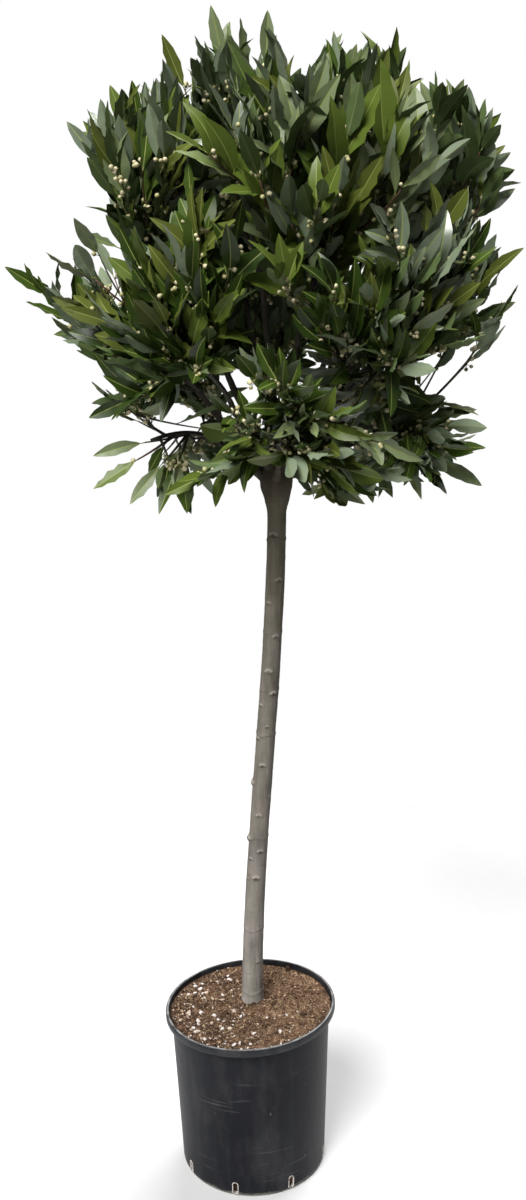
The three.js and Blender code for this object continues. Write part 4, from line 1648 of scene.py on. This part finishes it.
def grow_buds(axils, draw):
    """Clusters of flower buds on short stalks in the axils of the leaves."""
    buds = []
    for point, out, _ in axils:
        if draw() > BUDS["share"]:
            continue
        for _ in range(1 + int(draw() * BUDS["most"])):
            direction = unit(out + any_way(draw) * 0.75)
            middle = point + direction * lerp(*BUDS["stalk"], draw())
            buds.append((point, middle, direction, BUDS["radius"] * lerp(*BUDS["varies"], draw()), draw()))
    return buds


def make_buds(name, buds, finishes):
    corners, quads, tris, quad_tints, tri_tints = [], [], [], [], []
    start = 0
    bud_quads = np.array([f for f in BUD_FACES if len(f) == 4])
    bud_tris = np.array([f for f in BUD_FACES if len(f) == 3])
    for root, middle, direction, radius, pick in buds:
        across = unit(np.cross(direction, (0.4, 0.5, 0.77)))
        turn = np.stack([across, np.cross(direction, across), direction])
        corners.append(middle + BUD_CORNERS * radius @ turn)
        quads.append(bud_quads + start)
        tris.append(bud_tris + start)
        tint = 0 if pick < BUDS["cream"] else 1
        quad_tints += [tint] * len(bud_quads)
        tri_tints += [tint] * len(bud_tris)
        start += len(BUD_CORNERS)
        ring = np.array([(math.cos(a), math.sin(a), 0) for a in (0, 2.1, 4.2)])
        ring = ring * BUDS["stalk_radius"] @ turn
        corners += [root + ring, middle - direction * radius * 0.6 + ring]
        stalk, ends = stalk_faces(start)
        quads.append(np.array(stalk))
        quad_tints += [2] * len(stalk)
        tris.append(np.array(ends))
        tri_tints += [2] * len(ends)
        start += 6
    return mesh_from(
        name,
        np.concatenate(corners),
        [np.concatenate(quads), np.concatenate(tris)],
        np.array(quad_tints + tri_tints),
        finishes,
    )


MOST_HEARTS = 20000  # enough for the two middle points of every leaf
GREEN, REDDISH, BROWN = 0, 1, 2  # the finishes of twigs


def make_foliage(masses):
    leaf_finishes = [plain(f"leaf_{name}", *look) for name, look in UPPER_TINTS.items()]
    leaf_finishes += [
        plain("midrib", (0.23, 0.27, 0.07), 0.5, 0.25),
        plain("leaf_under", (0.095, 0.14, 0.048), 0.6, 0.18),
        plain("leaf_under_soft", (0.19, 0.235, 0.15), 0.6, 0.2),
        plain("midrib_under", (0.19, 0.22, 0.09), 0.55, 0.3),
    ]
    twig_finishes = [
        plain("twig_green", (0.08, 0.085, 0.026), 0.6),
        plain("twig_reddish", (0.085, 0.036, 0.02), 0.6),
        plain("twig_brown", (0.032, 0.025, 0.016), 0.7),
    ]
    bud_finishes = [
        plain("bud_cream", (0.66, 0.59, 0.37), 0.45),
        plain("bud_green", (0.45, 0.42, 0.2), 0.45),
        plain("bud_stalk", (0.2, 0.19, 0.07), 0.6),
    ]
    taken = []
    hearts = {"at": np.zeros((MOST_HEARTS, 3)), "count": 0}
    for mass in masses:
        stem, shoots = grow_shoots(mass, taken)
        tier = mass["tier"]
        draw = seeded(mass["seed"] + LEAF_SEED)
        leaves, buds = [], []
        twigs = [(stem.at(np.linspace(0, 1, 12)), STEM["radius"], STEM["tip_radius"], BROWN)]
        for shoot in shoots:
            tint = int(np.searchsorted(np.cumsum(tier["tints"]), draw() * sum(tier["tints"])))
            grown, axils = grow_leaves(mass, shoot, tint, draw, hearts)
            leaves += grown
            buds += grow_buds(axils, draw)
            size = shoot["size"]
            colour = REDDISH if draw() < tier["reddish"] else GREEN
            points = shoot["curve"].at(np.linspace(0, 1, 9))
            middle = size["woody"]
            halfway = lerp(size["radius"], size["tip_radius"], middle / 8)
            twigs.append((points[: middle + 1], size["radius"], halfway, BROWN))
            twigs.append((points[middle:], halfway, size["tip_radius"], colour))
        name = mass["name"]
        pieces = [
            make_leaves(f"leaves_{name}", leaves, leaf_finishes),
            tubes(f"twigs_{name}", twigs, 6, twig_finishes),
        ]
        if buds:
            pieces.append(make_buds(f"buds_{name}", buds, bud_finishes))
        for piece in pieces:
            settle(piece, piece.name, [f"foliage_{name}"])


# ---------------------------------------------------------------- trunk and boughs


def lathed_limb(points, radii, sides):
    """A cylinder, cut across into rings that are then set along a limb's line at its radii."""
    cuts = len(points) - 2
    piece = added(bpy.ops.mesh.primitive_cylinder_add, vertices=sides, radius=1, depth=1)
    edit_lines_along(piece, 2, 0.5)
    bpy.ops.mesh.subdivide(number_cuts=cuts)
    bpy.ops.object.mode_set(mode="OBJECT")
    corners = corners_of(piece)
    ring = np.rint((corners[:, 2] + 0.5) * (cuts + 1)).astype(int)
    points = np.array(points)
    heads = headings(points)
    across = np.empty_like(heads)
    side = np.array([1.0, 0.0, 0.0]) if abs(heads[0][0]) < 0.9 else np.array([0.0, 1.0, 0.0])
    for k, head in enumerate(heads):
        side = unit(side - head * (side @ head))
        across[k] = side
    other = np.cross(heads, across)
    radius = np.array(radii)[ring][:, None]
    placed = points[ring] + radius * (corners[:, :1] * across[ring] + corners[:, 1:2] * other[ring])
    set_corners(piece, placed * MM)
    return piece


def rough_tree(masses, foot):
    """The trunk and the boughs as smooth limbs, melted into one skin."""
    heights = np.concatenate([np.linspace(foot, 1080, 90), np.linspace(1090, TRUNK["top"], 16)])
    limbs = [lathed_limb([trunk_axis(z) for z in heights], [trunk_radius(z) for z in heights], 36)]
    for mass in masses:
        shares = np.linspace(0, 1, BOUGH["rings"])
        points = bough_curve(mass).at(shares)
        draw = seeded(mass["seed"] + BOUGH_SEED)
        for point in points[4:-1]:
            point += any_way(draw) * BOUGH["wander"]
        collar = BOUGH["collar"] * np.exp(-shares * BOUGH["collar_fades"])
        radii = lerp(mass["tier"]["root_radius"], BOUGH["tip_radius"], shares) + collar
        ring, thicker = BOUGH["knuckle"]
        radii[ring] += thicker
        limbs.append(lathed_limb(points, radii, 12))
    tree = joined(limbs)
    apply_modifier(tree, "REMESH", mode="VOXEL", voxel_size=SKIN["voxel"])
    apply_modifier(tree, "SMOOTH", factor=0.5, iterations=SKIN["smoothing"])
    return tree


def knots_and_rings(height, around, far):
    """How far knots and rings push the bark out at each corner, and how dark or pale they leave it."""
    push, scar, callus = (np.zeros(len(height)) for _ in range(3))
    dip, sunk = KNOT["dip"]
    crease, creased = KNOT["crease"]
    rim, healed = KNOT["callus"]
    for middle, azimuth, width, stands, dark in KNOTS:
        flat = np.abs((around - rad(azimuth) + math.pi) % math.tau - math.pi) * far
        tall = (height - middle) * KNOT["drawn_in"]
        near = np.hypot(flat, tall)
        push += stands * bell(near, width * KNOT["swelling"])
        push -= sunk * stands * bell(near, width * dip)
        scar = np.maximum(scar, dark * bell(near, width * KNOT["middle"]))
        fold = bell(tall + width * KNOT["below"], CREASE) * bell(flat, width * crease)
        scar = np.maximum(scar, creased * dark * fold)
        callus = np.maximum(callus, healed * bell(near - width * rim, width * dip) * (tall > 0))
    for middle, strength in RINGS:
        above = height - (middle + RING["waver"] * np.sin(3 * around + middle))
        push += strength * RING["stands"] * bell(above, RING["width"])
        broken = lerp(RING["least_dark"], 1, np.sin(5 * around + middle) ** 2)
        line = bell(above + RING["below"], RING["line"])
        scar = np.maximum(scar, RING["dark"] * strength * broken * line)
    return push, scar, callus


def unevenness(corners, scale, *settings):
    """Noise at each corner, drawn out up the limb."""
    return np.array([noise.fractal(Vector(corner), *settings) for corner in corners * scale])


def make_limbs(masses):
    foot = TRUNK["foot"][2] - 7  # it runs on a little way under the crumbs of compost
    tree = rough_tree(masses, foot)
    corners = corners_of(tree) / MM
    out = corners - np.array([trunk_axis(z) for z in corners[:, 2]])
    out[:, 2] = 0
    far = np.linalg.norm(out, axis=1)
    own = far < np.array([trunk_radius(z) for z in corners[:, 2]]) + 3
    out /= np.maximum(far, 1e-6)[:, None]
    around = np.arctan2(out[:, 1], out[:, 0])
    push, scar, callus = knots_and_rings(corners[:, 2], around, far)
    swell = unevenness(corners, (0.02, 0.02, 0.011), 0.8, 2.0, 3)
    grain = unevenness(corners, (0.35, 0.35, 0.07), 0.7, 2.1, 3)
    normals = np.empty(len(corners) * 3)
    tree.data.vertices.foreach_get("normal", normals)
    corners += out * (push * own)[:, None]
    gnarled = np.clip((corners[:, 2] - GNARLED["starts"]) / GNARLED["over"], 0, 1)
    gnarled *= far < GNARLED["within"]
    relief = (0.5 + GNARLED["swell"] * gnarled) * swell + (0.28 + GNARLED["grain"] * gnarled) * grain
    corners += normals.reshape(-1, 3) * relief[:, None]
    corners[:, 2] = np.maximum(corners[:, 2], foot)
    set_corners(tree, corners * MM)
    mark_corners(tree, "scar", scar * own)
    mark_corners(tree, "callus", callus * own)
    only(tree)
    bpy.ops.object.shade_smooth()
    tree.data.materials.clear()
    tree.data.materials.append(bark())
    nodes = ["trunk"] + [f"bough_{mass['name']}" for mass in masses]
    return settle(tree, "trunk_and_boughs", nodes)


# ---------------------------------------------------------------- the whole scene



def strew_compost():
    crumbs = [
        plain("crumb_dark", (0.045, 0.026, 0.016), 0.95, 0.15),
        plain("crumb_brown", (0.13, 0.08, 0.05), 0.95, 0.15),
        plain("crumb_light", (0.3, 0.21, 0.135), 0.95, 0.15),
    ]
    scatter_lumps(
        "compost_crumbs",
        crumbs,
        [0.3, 0.4, 0.3],
        count=1500,
        sizes=(0.7, 3.2),
        flat=0.75,
        sunk=0.1,
        seed=11,
    )
    scatter_lumps(
        "compost_clods",
        crumbs,
        [0.75, 0.25, 0.0],
        count=18,
        sizes=(3.5, 7.5),
        flat=0.8,
        sunk=0.35,
        seed=14,
    )
    # Damp crumbs lie in patches, more of them on the left, and so does perlite.
    scatter_lumps(
        "damp_crumbs",
        crumbs,
        [1.0, 0.0, 0.0],
        count=760,
        sizes=(0.8, 3.4),
        flat=0.6,
        sunk=0.2,
        seed=15,
        thick_here=lambda x, y: 0.3 - 0.006 * x + 1.6 * noise.noise(Vector((x, y, 5)) * 0.035),
    )
    perlite = [
        plain("perlite_white", (0.52, 0.475, 0.445), 0.85),
        plain("perlite_stained", (0.4, 0.31, 0.24), 0.85),
    ]
    scatter_lumps(
        "perlite",
        perlite,
        [0.75, 0.25],
        count=230,
        sizes=(0.9, 4.2),
        flat=0.7,
        sunk=0.45,
        seed=12,
        thick_here=lambda x, y: 0.36 - 0.0045 * x - 0.003 * y,
    )
    coir = [
        plain("coir_light", (0.36, 0.25, 0.155), 0.9, 0.15),
        plain("coir_dark", (0.17, 0.1, 0.06), 0.9, 0.15),
    ]
    strew_fibres("coir_fibres", coir, count=1500, seed=13)


make_camera()
make_sky()
make_lamps()
make_floor()
make_pot()
make_compost()
strew_compost()
masses = plan_head()
LIMBS = limb_lengths(masses)
make_limbs(masses)
make_foliage(masses)
